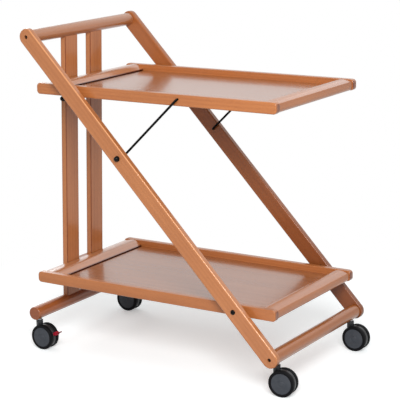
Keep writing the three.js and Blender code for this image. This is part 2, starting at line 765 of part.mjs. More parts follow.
function caster(name, barX, y, { braked = false, turn = 0 }) {
  const group = new THREE.Group();
  group.position.set(
    barX + trail * Math.cos(degrees(turn)), y + trail * Math.sin(degrees(turn)), wheelRadius);
  group.rotation.z = degrees(turn);
  trolley.add(group);
  place(group, `${name}_stem`, stem(), steel);
  place(group, `${name}_housing`, housing(braked), blackPlastic);
  place(group, `${name}_axle`, rodY(axleRadius, -axleEnd, axleEnd, 0, 0, 12), steel);
  place(group, `${name}_right_wheel`, wheel(), treadRubber);
  place(group, `${name}_left_wheel`, mirrorY(wheel()), treadRubber);
  if (braked) {
    const brake = place(group, `${name}_brake_lever`, lever(), redPlastic);
    brake.position.set(leverPivot.x, 0, leverPivot.z);
    brake.rotation.y = -degrees(leverSlope);
  }
}

caster('front_right_caster', legRun, -casterY, { turn: frontRightTurn });
caster('front_left_caster', legRun, casterY, {});
caster('rear_right_caster', -rearBarSetback, -casterY, { braked: true });
caster('rear_left_caster', -rearBarSetback, casterY, { braked: true });

export default trolley;
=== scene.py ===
"""A folding serving trolley: stained beech shelves and legs, steel stays and twin-wheel casters."""
import json
import math
import random

import bmesh
import bpy
from mathutils import Matrix, Vector


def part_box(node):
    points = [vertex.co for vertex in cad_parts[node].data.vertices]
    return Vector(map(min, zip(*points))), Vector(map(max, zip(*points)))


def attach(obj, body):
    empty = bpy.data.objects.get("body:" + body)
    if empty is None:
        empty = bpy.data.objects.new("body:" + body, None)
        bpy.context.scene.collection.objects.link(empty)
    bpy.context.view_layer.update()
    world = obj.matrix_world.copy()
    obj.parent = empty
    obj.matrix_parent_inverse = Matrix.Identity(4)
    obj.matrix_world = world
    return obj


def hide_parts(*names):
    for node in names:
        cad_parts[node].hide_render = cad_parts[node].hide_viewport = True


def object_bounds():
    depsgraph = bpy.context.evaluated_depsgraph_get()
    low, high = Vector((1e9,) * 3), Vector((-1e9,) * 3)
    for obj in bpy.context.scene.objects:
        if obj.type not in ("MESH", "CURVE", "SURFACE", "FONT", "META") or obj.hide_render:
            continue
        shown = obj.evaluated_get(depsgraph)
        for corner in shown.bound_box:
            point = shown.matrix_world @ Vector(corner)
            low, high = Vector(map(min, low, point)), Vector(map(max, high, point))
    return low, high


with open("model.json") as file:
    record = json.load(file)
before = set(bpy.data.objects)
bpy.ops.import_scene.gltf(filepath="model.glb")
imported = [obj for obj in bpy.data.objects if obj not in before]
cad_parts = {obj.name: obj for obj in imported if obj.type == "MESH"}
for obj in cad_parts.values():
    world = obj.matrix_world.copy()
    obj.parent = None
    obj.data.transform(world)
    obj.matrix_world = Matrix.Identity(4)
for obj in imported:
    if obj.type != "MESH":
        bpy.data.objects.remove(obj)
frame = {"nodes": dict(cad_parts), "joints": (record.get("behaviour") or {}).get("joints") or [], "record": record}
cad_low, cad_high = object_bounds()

MM = 0.001
SIDES = (("right", -1), ("left", 1))  # each side's name and the sign of its Y
CORNERS = ("front_right", "front_left", "rear_right", "rear_left")
X_AXIS = Vector((1, 0, 0))
Y_AXIS = Vector((0, 1, 0))
Z_AXIS = Vector((0, 0, 1))


# Reading the frame

def joint(name):
    return next(j for j in frame["joints"] if j["name"] == name)


def joint_point(name):
    """The place of a joint's axis in the frame."""
    return Vector(joint(name)["pos_m"])


def body_of(name):
    bodies = frame["record"]["behaviour"]["bodies"]
    return next(body for body, nodes in bodies.items() if name in nodes)


def middle(name):
    low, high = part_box(name)
    return (low + high) / 2


def size(name):
    low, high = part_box(name)
    return high - low


# Material helpers

def shader(name, roughness, specular, metallic=0.0, coat=0.0, coat_roughness=0.1):
    """A new material with its node tree and its Principled shader."""
    material = bpy.data.materials.new(name)
    material.use_nodes = True
    tree = material.node_tree
    principled = tree.nodes["Principled BSDF"]
    principled.inputs["Roughness"].default_value = roughness
    principled.inputs["Metallic"].default_value = metallic
    principled.inputs["Specular IOR Level"].default_value = specular
    principled.inputs["Coat Weight"].default_value = coat
    principled.inputs["Coat Roughness"].default_value = coat_roughness
    return material, tree, principled


def node(tree, kind, **inputs):
    """A node with its unlinked inputs set by name; spaces in names are written as underscores."""
    made = tree.nodes.new(kind)
    for key, value in inputs.items():
        made.inputs[key.replace("_", " ")].default_value = value
    return made


def ramp(tree, source, first, last):
    """A colour ramp on a value between two stops, each a place and a colour."""
    made = tree.nodes.new("ShaderNodeValToRGB")
    for element, (place, colour) in zip(made.color_ramp.elements, (first, last)):
        element.position = place
        element.color = (*colour, 1)
    tree.links.new(source, made.inputs["Fac"])
    return made.outputs["Color"]


def scaled(tree, source, scale):
    mapping = node(tree, "ShaderNodeMapping", Scale=scale)
    tree.links.new(source, mapping.inputs["Vector"])
    return mapping.outputs["Vector"]


def noise(tree, vector, scale, detail, roughness=0.5):
    made = node(tree, "ShaderNodeTexNoise", Scale=scale, Detail=detail, Roughness=roughness)
    tree.links.new(vector, made.inputs["Vector"])
    return made.outputs["Fac"]


def mixed(tree, blend_type, amount, first, second):
    """first blended with second, each a colour or a socket; amount is a number or a socket."""
    made = tree.nodes.new("ShaderNodeMix")
    made.data_type = "RGBA"
    made.blend_type = blend_type
    if isinstance(amount, (int, float)):
        made.inputs["Factor"].default_value = amount
    else:
        tree.links.new(amount, made.inputs["Factor"])
    for socket, value in ((made.inputs["A"], first), (made.inputs["B"], second)):
        if isinstance(value, tuple):
            socket.default_value = (*value, 1)
        else:
            tree.links.new(value, socket)
    return made.outputs["Result"]


def math_node(tree, operation, first, second):
    """A Math node; each input is a number or a socket."""
    made = tree.nodes.new("ShaderNodeMath")
    made.operation = operation
    for socket, value in zip(made.inputs, (first, second)):
        if isinstance(value, (int, float)):
            socket.default_value = value
        else:
            tree.links.new(value, socket)
    return made.outputs[0]


def mapped(tree, source, **limits):
    """A value moved from one range to another, and held within it."""
    made = node(tree, "ShaderNodeMapRange", **limits)
    tree.links.new(source, made.inputs["Value"])
    return made.outputs["Result"]


def bumped(tree, principled, height, strength, distance):
    made = node(tree, "ShaderNodeBump", Strength=strength, Distance=distance)
    tree.links.new(height, made.inputs["Height"])
    tree.links.new(made.outputs["Normal"], principled.inputs["Normal"])


def attribute(tree, name):
    """The node of a value kept on the mesh, which reads 0 on pieces without it."""
    made = tree.nodes.new("ShaderNodeAttribute")
    made.attribute_name = name
    return made


def place_part(tree, kind, part):
    """X, Y or Z of a kind of place or direction in the piece's own axes."""
    parts = tree.nodes.new("ShaderNodeSeparateXYZ")
    tree.links.new(tree.nodes.new("ShaderNodeTexCoord").outputs[kind], parts.inputs[0])
    return parts.outputs[part]


# Wood; its patterns are drawn out along X, the way of the grain

WHITE = (1.0, 1.0, 1.0)
RING_STRETCH = (0.05, 1, 1)
BROAD_STRETCH = (0.35, 3, 3)
FLECK_STRETCH = (0.12, 1, 1)
PORE_STRETCH = (0.03, 1, 1)
RING_SCALE = 34.0
PANEL_RING_SCALE = 22.0
RING_WANDER = 5.0
RING_DETAIL = 3.0
RING_DETAIL_SCALE = 1.2
BROAD_SCALE = 9
FLECK_SCALE = 900
PORE_SCALE = 1500
DARK_AT = 0.3  # where the broad pattern is all dark
LIGHT_AT = 0.7  # and where it is all light
RING_STOPS = ((0.0, (0.86, 0.82, 0.78)), (1.0, WHITE))
FLECK_STOPS = ((0.36, (0.78, 0.72, 0.66)), (0.5, WHITE))
PORE_STOPS = ((0.3, (0.84, 0.78, 0.72)), (0.45, WHITE))
RING_SHARE = 0.55  # how strongly each pattern shows
FLECK_SHARE = 0.4
PORE_SHARE = 0.5
PORE_BUMP = 0.08
PORE_DEPTH = 0.2 * MM
END_GRAIN_FROM = 0.7  # how squarely a face looks along the grain
END_GRAIN_FULL = 0.95
FOOT_SHADE = (0.35, 0.85)  # metres down a leg: where the painted shade towards its foot starts, and is in full
LACQUER_ROUGHNESS = 0.12
END_TONE = (0.72, 0.64, 0.58)
# Painted shade: the colour of the dark lines laid in joints, under the end rails' lips and along some edges
PAINTED_SHADE_TONE = (0.30, 0.15, 0.10)
# Painted highlight: the pale line laid along the near leg's upper outer arris
PAINTED_HIGHLIGHT_TONE = (0.68, 0.30, 0.125)
# Painted shade: darkens the far leg down towards its foot
FOOT_SHADE_TONE = (0.60, 0.52, 0.47)


def end_grain(tree):
    """1 on faces across the grain, where the board was sawn off, and 0 along it."""
    across = math_node(tree, "ABSOLUTE", place_part(tree, "Normal", "X"), 0)
    return mapped(tree, across, From_Min=END_GRAIN_FROM, From_Max=END_GRAIN_FULL)


def lengthwise(tree, start, end):
    """0 up to start along the piece and 1 from end on."""
    return mapped(tree, place_part(tree, "Object", "X"), From_Min=start, From_Max=end)


def year_rings(tree, place, scale):
    rings = node(tree, "ShaderNodeTexWave", Scale=scale, Distortion=RING_WANDER, Detail=RING_DETAIL,
                 Detail_Scale=RING_DETAIL_SCALE)
    rings.wave_type = "RINGS"
    rings.rings_direction = "X"
    tree.links.new(scaled(tree, place, RING_STRETCH), rings.inputs["Vector"])
    return rings.outputs["Fac"]


def make_wood(name, light, dark, ring_scale=RING_SCALE, roughness=0.34, specular=0.3, coat=0.45,
              foot=None):
    """Stained beech: soft year rings, fine flecks and pores, darker ends, satin lacquer; painted shade and
    highlight.
    """
    material, tree, principled = shader(name, roughness, specular, coat=coat,
                                        coat_roughness=LACQUER_ROUGHNESS)
    place = attribute(tree, "grain").outputs["Vector"]
    broad = noise(tree, scaled(tree, place, BROAD_STRETCH), BROAD_SCALE, detail=3)
    flecks = noise(tree, scaled(tree, place, FLECK_STRETCH), FLECK_SCALE, detail=2, roughness=0.6)
    pores = noise(tree, scaled(tree, place, PORE_STRETCH), PORE_SCALE, detail=1)
    ring_tone = ramp(tree, year_rings(tree, place, ring_scale), *RING_STOPS)
    colour = ramp(tree, broad, (DARK_AT, dark), (LIGHT_AT, light))
    # Grain patterns and end grain, then painted shade where the mesh marks it
    for amount, tone in ((RING_SHARE, ring_tone),
                         (FLECK_SHARE, ramp(tree, flecks, *FLECK_STOPS)),
                         (PORE_SHARE, ramp(tree, pores, *PORE_STOPS)),
                         (end_grain(tree), END_TONE),
                         (attribute(tree, "seam").outputs["Fac"], PAINTED_SHADE_TONE)):
        colour = mixed(tree, "MULTIPLY", amount, colour, tone)
    # painted highlight where the mesh marks an arris
    colour = mixed(tree, "MIX", attribute(tree, "wear").outputs["Fac"], colour, PAINTED_HIGHLIGHT_TONE)
    # painted shade down the leg towards its foot
    if foot:
        colour = mixed(tree, "MULTIPLY", lengthwise(tree, *foot), colour, FOOT_SHADE_TONE)
    tree.links.new(colour, principled.inputs["Base Color"])
    bumped(tree, principled, pores, PORE_BUMP, PORE_DEPTH)
    return material


WOOD = make_wood("stained_beech", (0.51, 0.178, 0.053), (0.43, 0.144, 0.042))
# Paler and greyer than the plain wood: partly painted sheen on the rear rails' tops, beside a glossier lacquer
REAR_RAIL_WOOD = make_wood("stained_beech_rear_rail", (0.52, 0.195, 0.066), (0.44, 0.160, 0.054),
                           roughness=0.3, specular=0.6, coat=0.7)
# Darker than the plain wood: painted shade on the low front bar
BAR_WOOD = make_wood("stained_beech_bar", (0.44, 0.150, 0.042), (0.36, 0.118, 0.033))
# Greyer than the plain wood: painted sheen on the handle bar
HANDLE_WOOD = make_wood("stained_beech_handle", (0.46, 0.178, 0.068), (0.38, 0.144, 0.055),
                        roughness=0.3, specular=0.5, coat=0.6)
# Darker and redder than the plain wood: painted shade on the rear bar, low at the back
DARK_WOOD = make_wood("stained_beech_dark", (0.43, 0.126, 0.032), (0.35, 0.098, 0.025))
SLAT_WOOD = make_wood("stained_beech_slat", (0.53, 0.197, 0.064), (0.44, 0.158, 0.050))
LEG_WOOD = make_wood("stained_beech_leg", (0.54, 0.204, 0.072), (0.47, 0.170, 0.058))
# The far leg's wood, darker, with painted shade down towards its foot
DARK_LEG_WOOD = make_wood("stained_beech_dark_leg", (0.43, 0.141, 0.040), (0.36, 0.113, 0.031),
                          specular=0.4, coat=0.1, foot=FOOT_SHADE)
PANEL_WOOD = make_wood("stained_beech_panel", (0.38, 0.135, 0.045), (0.33, 0.115, 0.038),
                       PANEL_RING_SCALE, roughness=0.27, specular=0.6, coat=0.5)


# Plastic, rubber and metal

MOTTLE_SCALE = 60
MOTTLE_FROM = 0.35  # where the mottling starts to show
MOTTLE_FULL = 0.7
GLOSS_FROM = 0.3
GLOSS_SPREAD = 0.05  # how far roughness strays either way
FINE_BUMP = 0.1
FINE_DEPTH = 0.1 * MM


def make_plain(name, colour, worn, roughness, metallic=0.0, specular=0.5, grit=1400):
    """Moulded plastic, rubber or bare or coated steel: faint mottling and a fine surface."""
    material, tree, principled = shader(name, roughness, specular, metallic)
    place = tree.nodes.new("ShaderNodeTexCoord").outputs["Object"]
    mottle = noise(tree, place, MOTTLE_SCALE, detail=3)
    tone = ramp(tree, mottle, (MOTTLE_FROM, colour), (MOTTLE_FULL, worn))
    tree.links.new(tone, principled.inputs["Base Color"])
    gloss = mapped(tree, mottle, From_Min=GLOSS_FROM, From_Max=MOTTLE_FULL,
                   To_Min=roughness - GLOSS_SPREAD, To_Max=roughness + GLOSS_SPREAD)
    tree.links.new(gloss, principled.inputs["Roughness"])
    bumped(tree, principled, noise(tree, place, grit, detail=2), FINE_BUMP, FINE_DEPTH)
    return material


BLACK_STEEL = make_plain("black_steel", (0.003, 0.003, 0.003), (0.005, 0.005, 0.005),
                         roughness=0.45, specular=0.06)
ZINC = make_plain("bright_zinc", (0.50, 0.50, 0.52), (0.60, 0.60, 0.62),
                  roughness=0.24, metallic=1.0)
BLACK_PLASTIC = make_plain("black_plastic", (0.010, 0.010, 0.011), (0.016, 0.016, 0.018),
                           roughness=0.42, specular=0.2)
HOUSING = make_plain("housing_plastic", (0.022, 0.023, 0.025), (0.032, 0.033, 0.036),
                     roughness=0.34, specular=0.3)
RUBBER = make_plain("tread_rubber", (0.004, 0.004, 0.005), (0.006, 0.006, 0.007),
                    roughness=0.55, specular=0.08, grit=2200)
HUB = make_plain("hub_plastic", (0.040, 0.045, 0.055), (0.054, 0.059, 0.070),
                 roughness=0.42, specular=0.25)
CHROME = make_plain("dull_chrome", (0.30, 0.30, 0.31), (0.38, 0.38, 0.40),
                    roughness=0.2, metallic=1.0)
GLOSSY_BLACK = make_plain("glossy_black", (0.002, 0.002, 0.002), (0.004, 0.004, 0.004),
                          roughness=0.12, specular=0.12)
DARK_SCREW = make_plain("dark_screw", (0.016, 0.006, 0.004), (0.024, 0.010, 0.007),
                        roughness=0.34, specular=0.12)
# Darker red for the lever's thin tip: painted shade on its edge-on pad
SHADED_TIP_RED = make_plain("red_plastic_painted_shade", (0.17, 0.006, 0.012), (0.22, 0.010, 0.018),
                      roughness=0.42, specular=0.2)
RED = make_plain("red_plastic", (0.34, 0.008, 0.024), (0.42, 0.014, 0.034),
                 roughness=0.38, specular=0.2)


# Mesh helpers

SHARP = math.radians(28)  # faces that meet at more than this show a hard edge
ROUNDED_FROM = math.radians(35)  # edges sharper than this are rounded
CURVED_FROM = math.radians(50)  # and on outlines that have curves
SAME_PLACE = 1e-6  # vertices this close are one
NO_RADIUS = 1e-7  # a ring no wider than this is one vertex
GRAIN_ALONG = 4.0  # how far a piece's place in its board may vary
GRAIN_ACROSS = 0.2
OVERRUN = 1 * MM  # how far a cutter stands out of what it cuts
EDGE_STEPS = 4
MARKED_SHARE = 0.7  # of an edge's rounding, in depth under either face
FINE_STEPS = 96  # round pieces have this many faces a turn
MID_STEPS = 48
COARSE_STEPS = 40
THIN_STEPS = 24


def piece(name, bm, material, body, stands_for, matrix, **marks):
    """A finished mesh piece: smooth faces, its grain places, its material and its body.

    Marks are functions that give the share of a mark at a vertex from its place: one for painted
    shade in a joint, under a lip or along an edge, one for a painted highlight along a leg's arris."""
    mesh = bpy.data.meshes.new(name)
    bmesh.ops.recalc_face_normals(bm, faces=bm.faces[:])
    for face in bm.faces:
        face.smooth = True
    bm.to_mesh(mesh)
    bm.free()
    mesh.set_sharp_from_angle(angle=SHARP)
    draw = random.Random(name)
    shift = Vector((draw.uniform(0, GRAIN_ALONG), draw.uniform(-GRAIN_ACROSS, GRAIN_ACROSS),
                    draw.uniform(-GRAIN_ACROSS, GRAIN_ACROSS)))
    grain = mesh.attributes.new("grain", "FLOAT_VECTOR", "POINT")
    grain.data.foreach_set("vector", [c for v in mesh.vertices for c in v.co + shift])
    for mark, share_at in marks.items():
        shares = mesh.attributes.new(mark, "FLOAT", "POINT")
        shares.data.foreach_set("value", [share_at(v.co) for v in mesh.vertices])
    made = bpy.data.objects.new(name, mesh)
    bpy.context.scene.collection.objects.link(made)
    made.matrix_world = matrix
    made.data.materials.append(material)
    made.modifiers.new("weighted", "WEIGHTED_NORMAL").keep_sharp = True
    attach(made, body)
    if stands_for:
        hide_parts(*([stands_for] if isinstance(stands_for, str) else stands_for))


def dress(name, bm, material, matrix=Matrix.Identity(4), **marks):
    """A piece that stands for the CAD node of the same name."""
    piece(name + "_finish", bm, material, body_of(name), name, matrix, **marks)


def edge_mark(depth, other_depth, edge):
    """1 on an edge's rounding and 0 elsewhere, from the depths under the two faces that meet."""
    return float(max(depth, other_depth) < MARKED_SHARE * edge)


def rounded(bm, edge, segments=3, least=ROUNDED_FROM):
    """Rounds every edge that is sharper than the least angle."""
    bmesh.ops.remove_doubles(bm, verts=bm.verts[:], dist=SAME_PLACE)
    bmesh.ops.recalc_face_normals(bm, faces=bm.faces[:])
    sharp = [e for e in bm.edges if e.is_manifold and e.calc_face_angle(0) > least]
    bmesh.ops.bevel(bm, geom=sharp, offset=edge, segments=segments, affect="EDGES", profile=0.5,
                    clamp_overlap=True)
    return bm


def arc(cx, cz, radius, start, end, steps):
    """Points of an arc, angles in degrees, anticlockwise where end is larger."""
    angles = (math.radians(start + (end - start) * k / steps) for k in range(steps + 1))
    return [(cx + radius * math.cos(a), cz + radius * math.sin(a)) for a in angles]


def bezier(p0, p1, p2, p3, steps):
    """Points of a curve from p0, which is left out, to p3."""
    points = []
    for k in range(1, steps + 1):
        t = k / steps
        weights = ((1 - t) ** 3, 3 * t * (1 - t) ** 2, 3 * t * t * (1 - t), t ** 3)
        points.append(tuple(sum(w * p[i] for w, p in zip(weights, (p0, p1, p2, p3)))
                            for i in (0, 1)))
    return points


def prism(near_points, far_points):
    """A solid between two outlines that have the same count of points."""
    bm = bmesh.new()
    near = [bm.verts.new(point) for point in near_points]
    far = [bm.verts.new(point) for point in far_points]
    bm.faces.new(near)
    bm.faces.new(list(reversed(far)))
    for i in range(len(near)):
        k = (i + 1) % len(near)
        bm.faces.new((near[i], far[i], far[k], near[k]))
    return bm


def extruded(outline, y0, y1):
    """A side-view outline (x, z) made solid between y0 and y1."""
    return prism([(x, y0, z) for x, z in outline], [(x, y1, z) for x, z in outline])


def block(low, high):
    """A plain block between two corners."""
    outline = [(low[0], low[2]), (high[0], low[2]), (high[0], high[2]), (low[0], high[2])]
    return extruded(outline, low[1], high[1])


def skinned(bm, rings, steps):
    """The rings joined by faces and both ends closed; a ring of one vertex is a tip."""
    for first, second in zip(rings, rings[1:]):
        for k in range(steps):
            n = (k + 1) % steps
            corners = []
            for vert in (first[k % len(first)], first[n % len(first)],
                         second[n % len(second)], second[k % len(second)]):
                if vert not in corners:
                    corners.append(vert)
            if len(corners) > 2:
                bm.faces.new(corners)
    for ring in (rings[0], rings[-1]):
        if len(ring) > 1:
            bm.faces.new(ring)
    return bm


def oriented(along, u, v, axis):
    return {"X": (along, u, v), "Y": (u, along, v), "Z": (u, v, along)}[axis]


def turned(profile, steps, axis="X"):
    """A profile of (place along the axis, radius) turned about the axis, closed at both ends."""
    bm = bmesh.new()
    rings = []
    for along, radius in profile:
        count = steps if radius > NO_RADIUS else 1
        points = [(radius * math.cos(a), radius * math.sin(a))
                  for a in (math.tau * k / steps for k in range(count))]
        rings.append([bm.verts.new(oriented(along, u, v, axis)) for u, v in points])
    return skinned(bm, rings, steps)


def rim(face, radius, edge, side, steps):
    """Profile of a rounded rim, in the order along the axis; side is the way its face looks."""
    angles = (math.radians(90 * k / steps) for k in range(steps + 1))
    points = [(face - side * edge + side * edge * math.cos(a), radius - edge + edge * math.sin(a))
              for a in angles]
    return points if side < 0 else list(reversed(points))


def softened(start, end, radius, edge, steps=6):
    """Profile of a cylinder with rounded rims."""
    return ([(start, 0)] + rim(start, radius, edge, -1, steps)
            + rim(end, radius, edge, 1, steps) + [(end, 0)])


def cylinder(start, end, radius, axis):
    """A plain cylinder to cut with."""
    return turned([(start, 0), (start, radius), (end, radius), (end, 0)], COARSE_STEPS, axis)


def tube(stations, radius, steps):
    """A round rod along stations in the XY plane, each a point and the path's direction there."""
    bm = bmesh.new()
    rings = []
    for (x, y), (dx, dy) in stations:
        side = Vector((dy, -dx, 0))
        rings.append([bm.verts.new(Vector((x, y, 0)) + side * math.cos(a) * radius
                                   + Z_AXIS * math.sin(a) * radius)
                      for a in (math.tau * k / steps for k in range(steps))])
    return skinned(bm, rings, steps)


def mirrored(bm):
    """The mesh's mirror image across the XZ plane."""
    for vert in bm.verts:
        vert.co.y = -vert.co.y
    return bm


def moved(bm, place):
    bmesh.ops.translate(bm, verts=bm.verts[:], vec=place)
    return bm


def bore(x, z, radius, y0, y1):
    """A round cutter along Y."""
    return moved(cylinder(y0, y1, radius, "Y"), (x, 0, z))


def loose_object(bm, name):
    bmesh.ops.recalc_face_normals(bm, faces=bm.faces[:])
    mesh = bpy.data.meshes.new(name)
    bm.to_mesh(mesh)
    bm.free()
    made = bpy.data.objects.new(name, mesh)
    bpy.context.scene.collection.objects.link(made)
    return made


def combined(bm, operation, others):
    """The mesh joined with the others (UNION) or cut by them (DIFFERENCE), as one closed shape."""
    blank = loose_object(bm, "blank")
    tools = [loose_object(other, "tool") for other in others]
    for tool in tools:
        modifier = blank.modifiers.new("step", "BOOLEAN")
        modifier.operation = operation
        modifier.solver = "EXACT"
        modifier.object = tool
    bpy.context.view_layer.update()
    result = blank.evaluated_get(bpy.context.evaluated_depsgraph_get()).to_mesh()
    out = bmesh.new()
    out.from_mesh(result)
    for used in (blank, *tools):
        bpy.data.objects.remove(used)
    return out


def turned_about_y(angle):
    return Matrix.Rotation(angle, 4, "Y")


# Round bars

BAR_EDGE = 1.8 * MM
ALONG_Y = Matrix.Rotation(math.pi / 2, 4, "Z")


def bar(name, material):
    """A round bar along Y with softened ends; its grain runs along it."""
    half = size(name).y / 2
    profile = softened(-half, half, size(name).z / 2, BAR_EDGE, EDGE_STEPS)
    matrix = Matrix.Translation(middle(name)) @ ALONG_Y
    dress(name, turned(profile, FINE_STEPS), material, matrix)


bar("handle_bar", HANDLE_WOOD)
bar("rear_cross_bar", DARK_WOOD)
bar("front_cross_bar", BAR_WOOD)


# Legs

HANDLE = joint_point("fold")
FOOT = middle("front_cross_bar")
LEG_LENGTH = (FOOT - HANDLE).length
LEG_PITCH = math.atan2(HANDLE.z - FOOT.z, FOOT.x - HANDLE.x)
LEG_OUTER = -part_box("right_leg")[0].y
LEG_HALF_WIDTH = (size("right_leg").z - (HANDLE.z - FOOT.z)) / 2
LEG_EDGE = 2.8 * MM
LEG_END_STEPS = 32
STAY_DOWN = (joint_point("right_stay_fold").xz - HANDLE.xz).length
SHELF_DOWN = (middle("right_shelf_pivot_bolt").xz - HANDLE.xz).length
SCREW_HOLE = 4.8 * MM
SCREW_DEPTH = 6.2 * MM
SCREW_SHANK_HOLE = 2.7 * MM
STAY_HOLE = 3.2 * MM
BOLT_HOLE = 3.3 * MM


def leg(side, sign, material, wear_share):
    """A long flat board with half-round ends; the screws at its ends are sunk."""
    name = f"{side}_leg"
    outline = (arc(LEG_LENGTH, 0, LEG_HALF_WIDTH, -90, 90, LEG_END_STEPS)
               + arc(0, 0, LEG_HALF_WIDTH, 90, 270, LEG_END_STEPS))
    half = size(name).y / 2
    bm = rounded(extruded(outline, -half, half), LEG_EDGE, EDGE_STEPS)
    outer = sign * half
    sunk = sorted((outer + sign * OVERRUN, outer - sign * SCREW_DEPTH))
    through = (-half - OVERRUN, half + OVERRUN)
    holes = [(STAY_DOWN, STAY_HOLE, through), (SHELF_DOWN, BOLT_HOLE, through)]
    for down in (0, LEG_LENGTH):
        holes += [(down, SCREW_HOLE, sunk), (down, SCREW_SHANK_HOLE, through)]
    cutters = [bore(down, 0, radius, *span) for down, radius, span in holes]
    matrix = (Matrix.Translation((HANDLE.x, middle(name).y, HANDLE.z))
              @ turned_about_y(LEG_PITCH))
    # A painted highlight along the upper outer arris, at the share given
    dress(name, combined(bm, "DIFFERENCE", cutters), material, matrix,
          wear=lambda co: wear_share * edge_mark(LEG_HALF_WIDTH - co.z, half - sign * co.y,
                                                 LEG_EDGE))


# The near leg carries the painted highlight, the far leg none
leg("right", -1, LEG_WOOD, 1)
leg("left", 1, DARK_LEG_WOOD, 0)


# Rear slats

REAR_FOOT = middle("rear_cross_bar")
SLAT_TURN = turned_about_y(math.pi / 2
                           + math.atan2(HANDLE.x - REAR_FOOT.x, HANDLE.z - REAR_FOOT.z))
SLAT_HALF_THICK = 8.05 * MM
SLAT_EDGE = 2.2 * MM
# Painted shade along the slats' rounded long edges, at this share
SLAT_EDGE_SHADE_SHARE = 0.8
SLAT_END_SHARE = 0.8  # of a bar's radius, from its axis to the slat's end


def slat(side):
    """A flat board that runs into both bars; its long edges are softened."""
    name = f"{side}_rear_slat"
    half = size(name).y / 2
    inset = size("handle_bar").z / 2 * SLAT_END_SHARE
    far = (HANDLE - REAR_FOOT).length - inset
    bm = rounded(block((inset, -half, -SLAT_HALF_THICK), (far, half, SLAT_HALF_THICK)),
                 SLAT_EDGE, EDGE_STEPS)
    matrix = Matrix.Translation((HANDLE.x, middle(name).y, HANDLE.z)) @ SLAT_TURN
    # painted shade along the long edges
    dress(name, bm, SLAT_WOOD, matrix,
          seam=lambda co: SLAT_EDGE_SHADE_SHARE * edge_mark(half - abs(co.y),
                                                       SLAT_HALF_THICK - abs(co.z), SLAT_EDGE))


for side, _ in SIDES:
    slat(side)


# Tray shelves: side rails

RAIL_END = 9 * MM
RAIL_END_STEPS = 10
RAIL_EDGE = 2.4 * MM
# Painted shade on the inner half of each end of a side rail, beside the end rail
END_SHADE_SHARE = 0.8
END_SHADE_REACH = 1.5 * MM


def side_rail(name, inwards):
    """A rail along the shelf, its ends rounded in side view; inwards is the panel's side."""
    half = size(name) / 2
    x, z = half.x - RAIL_END, half.z - RAIL_END
    outline = []
    for corner_x, corner_z, start in ((x, -z, -90), (x, z, 0), (-x, z, 90), (-x, -z, 180)):
        outline += arc(corner_x, corner_z, RAIL_END, start, start + 90, RAIL_END_STEPS)
    bm = rounded(extruded(outline, -half.y, half.y), RAIL_EDGE, EDGE_STEPS)
    # painted shade on the inner half of both ends
    shade_x = half.x - END_SHADE_REACH
    dress(name, bm, WOOD, Matrix.Translation(middle(name)),
          seam=lambda co: END_SHADE_SHARE * float(abs(co.x) > shade_x and inwards * co.y > 0))


# Tray shelves: front and rear rails, which have a shallow dome and hold the panel's ends

CREST_IN = 30 * MM  # from the outer face to the dome's highest line
CREST_BEHIND_SHARE = 1.3  # of CREST_IN: the curves' handles behind the crest,
CREST_BEFORE_SHARE = 0.6  # before it
CREST_LOW_SHARE = 0.3  # and down by the arris
ARRIS_HEIGHT = 23 * MM  # the outer face's upper edge
ARRIS_IN = 1.2 * MM
ARRIS_SHARE = 0.86  # of ARRIS_HEIGHT: the outer face's upper handle
NOSE = 10 * MM  # reach of the rounding under the outer face
NOSE_FACE_SHARE = 1.4  # of NOSE: the outer face's lower handle
NOSE_SHARE = 0.45  # and both handles of the rounding
LEDGE = 7.6 * MM  # the slot for the panel's end starts at this height
LIP_HEIGHT = 13.6 * MM  # and ends under the lip at this one
LIP = 1.4 * MM  # the lip's thickness
END_SEAT = 13 * MM  # the panel reaches this far into the rail
SLOT_GAP = 0.3 * MM  # between the panel's end and the bottom of its slot
DOME_STEPS = 12
SHOULDER_STEPS = 10
FACE_STEPS = 8
END_EDGE = 0.8 * MM
END_EDGE_STEPS = 2
JOINT_REACH = 0.1 * MM  # each end runs this far past its solid and closes the joint
# Painted shade on the rail's inner face at and under the lip, beside the panel
LIP_SHADE_IN = 1.2 * MM
LIP_SHADE_UP = 1 * MM


def end_rail_outline(width, height):
    """Front or rear rail from the side: u from the outer face inwards, v up from the underside."""
    slot = width - END_SEAT - SLOT_GAP
    top = LIP_HEIGHT + LIP
    points = [(NOSE, 0), (width, 0), (width, LEDGE), (slot, LEDGE), (slot, LIP_HEIGHT),
              (width, LIP_HEIGHT), (width, top)]
    points += bezier((width, top), ((width + CREST_IN) / 2, (top + height) / 2 + LIP),
                     (CREST_IN * CREST_BEHIND_SHARE, height), (CREST_IN, height), DOME_STEPS)
    points += bezier((CREST_IN, height), (CREST_IN * CREST_BEFORE_SHARE, height),
                     (CREST_IN * CREST_LOW_SHARE, (height + ARRIS_HEIGHT) / 2),
                     (ARRIS_IN, ARRIS_HEIGHT), SHOULDER_STEPS)
    points += bezier((ARRIS_IN, ARRIS_HEIGHT), (0, ARRIS_HEIGHT * ARRIS_SHARE),
                     (0, NOSE * NOSE_FACE_SHARE), (0, NOSE), FACE_STEPS)
    points += bezier((0, NOSE), (0, NOSE * NOSE_SHARE), (NOSE * NOSE_SHARE, 0), (NOSE, 0),
                     FACE_STEPS)
    return points[:-1]


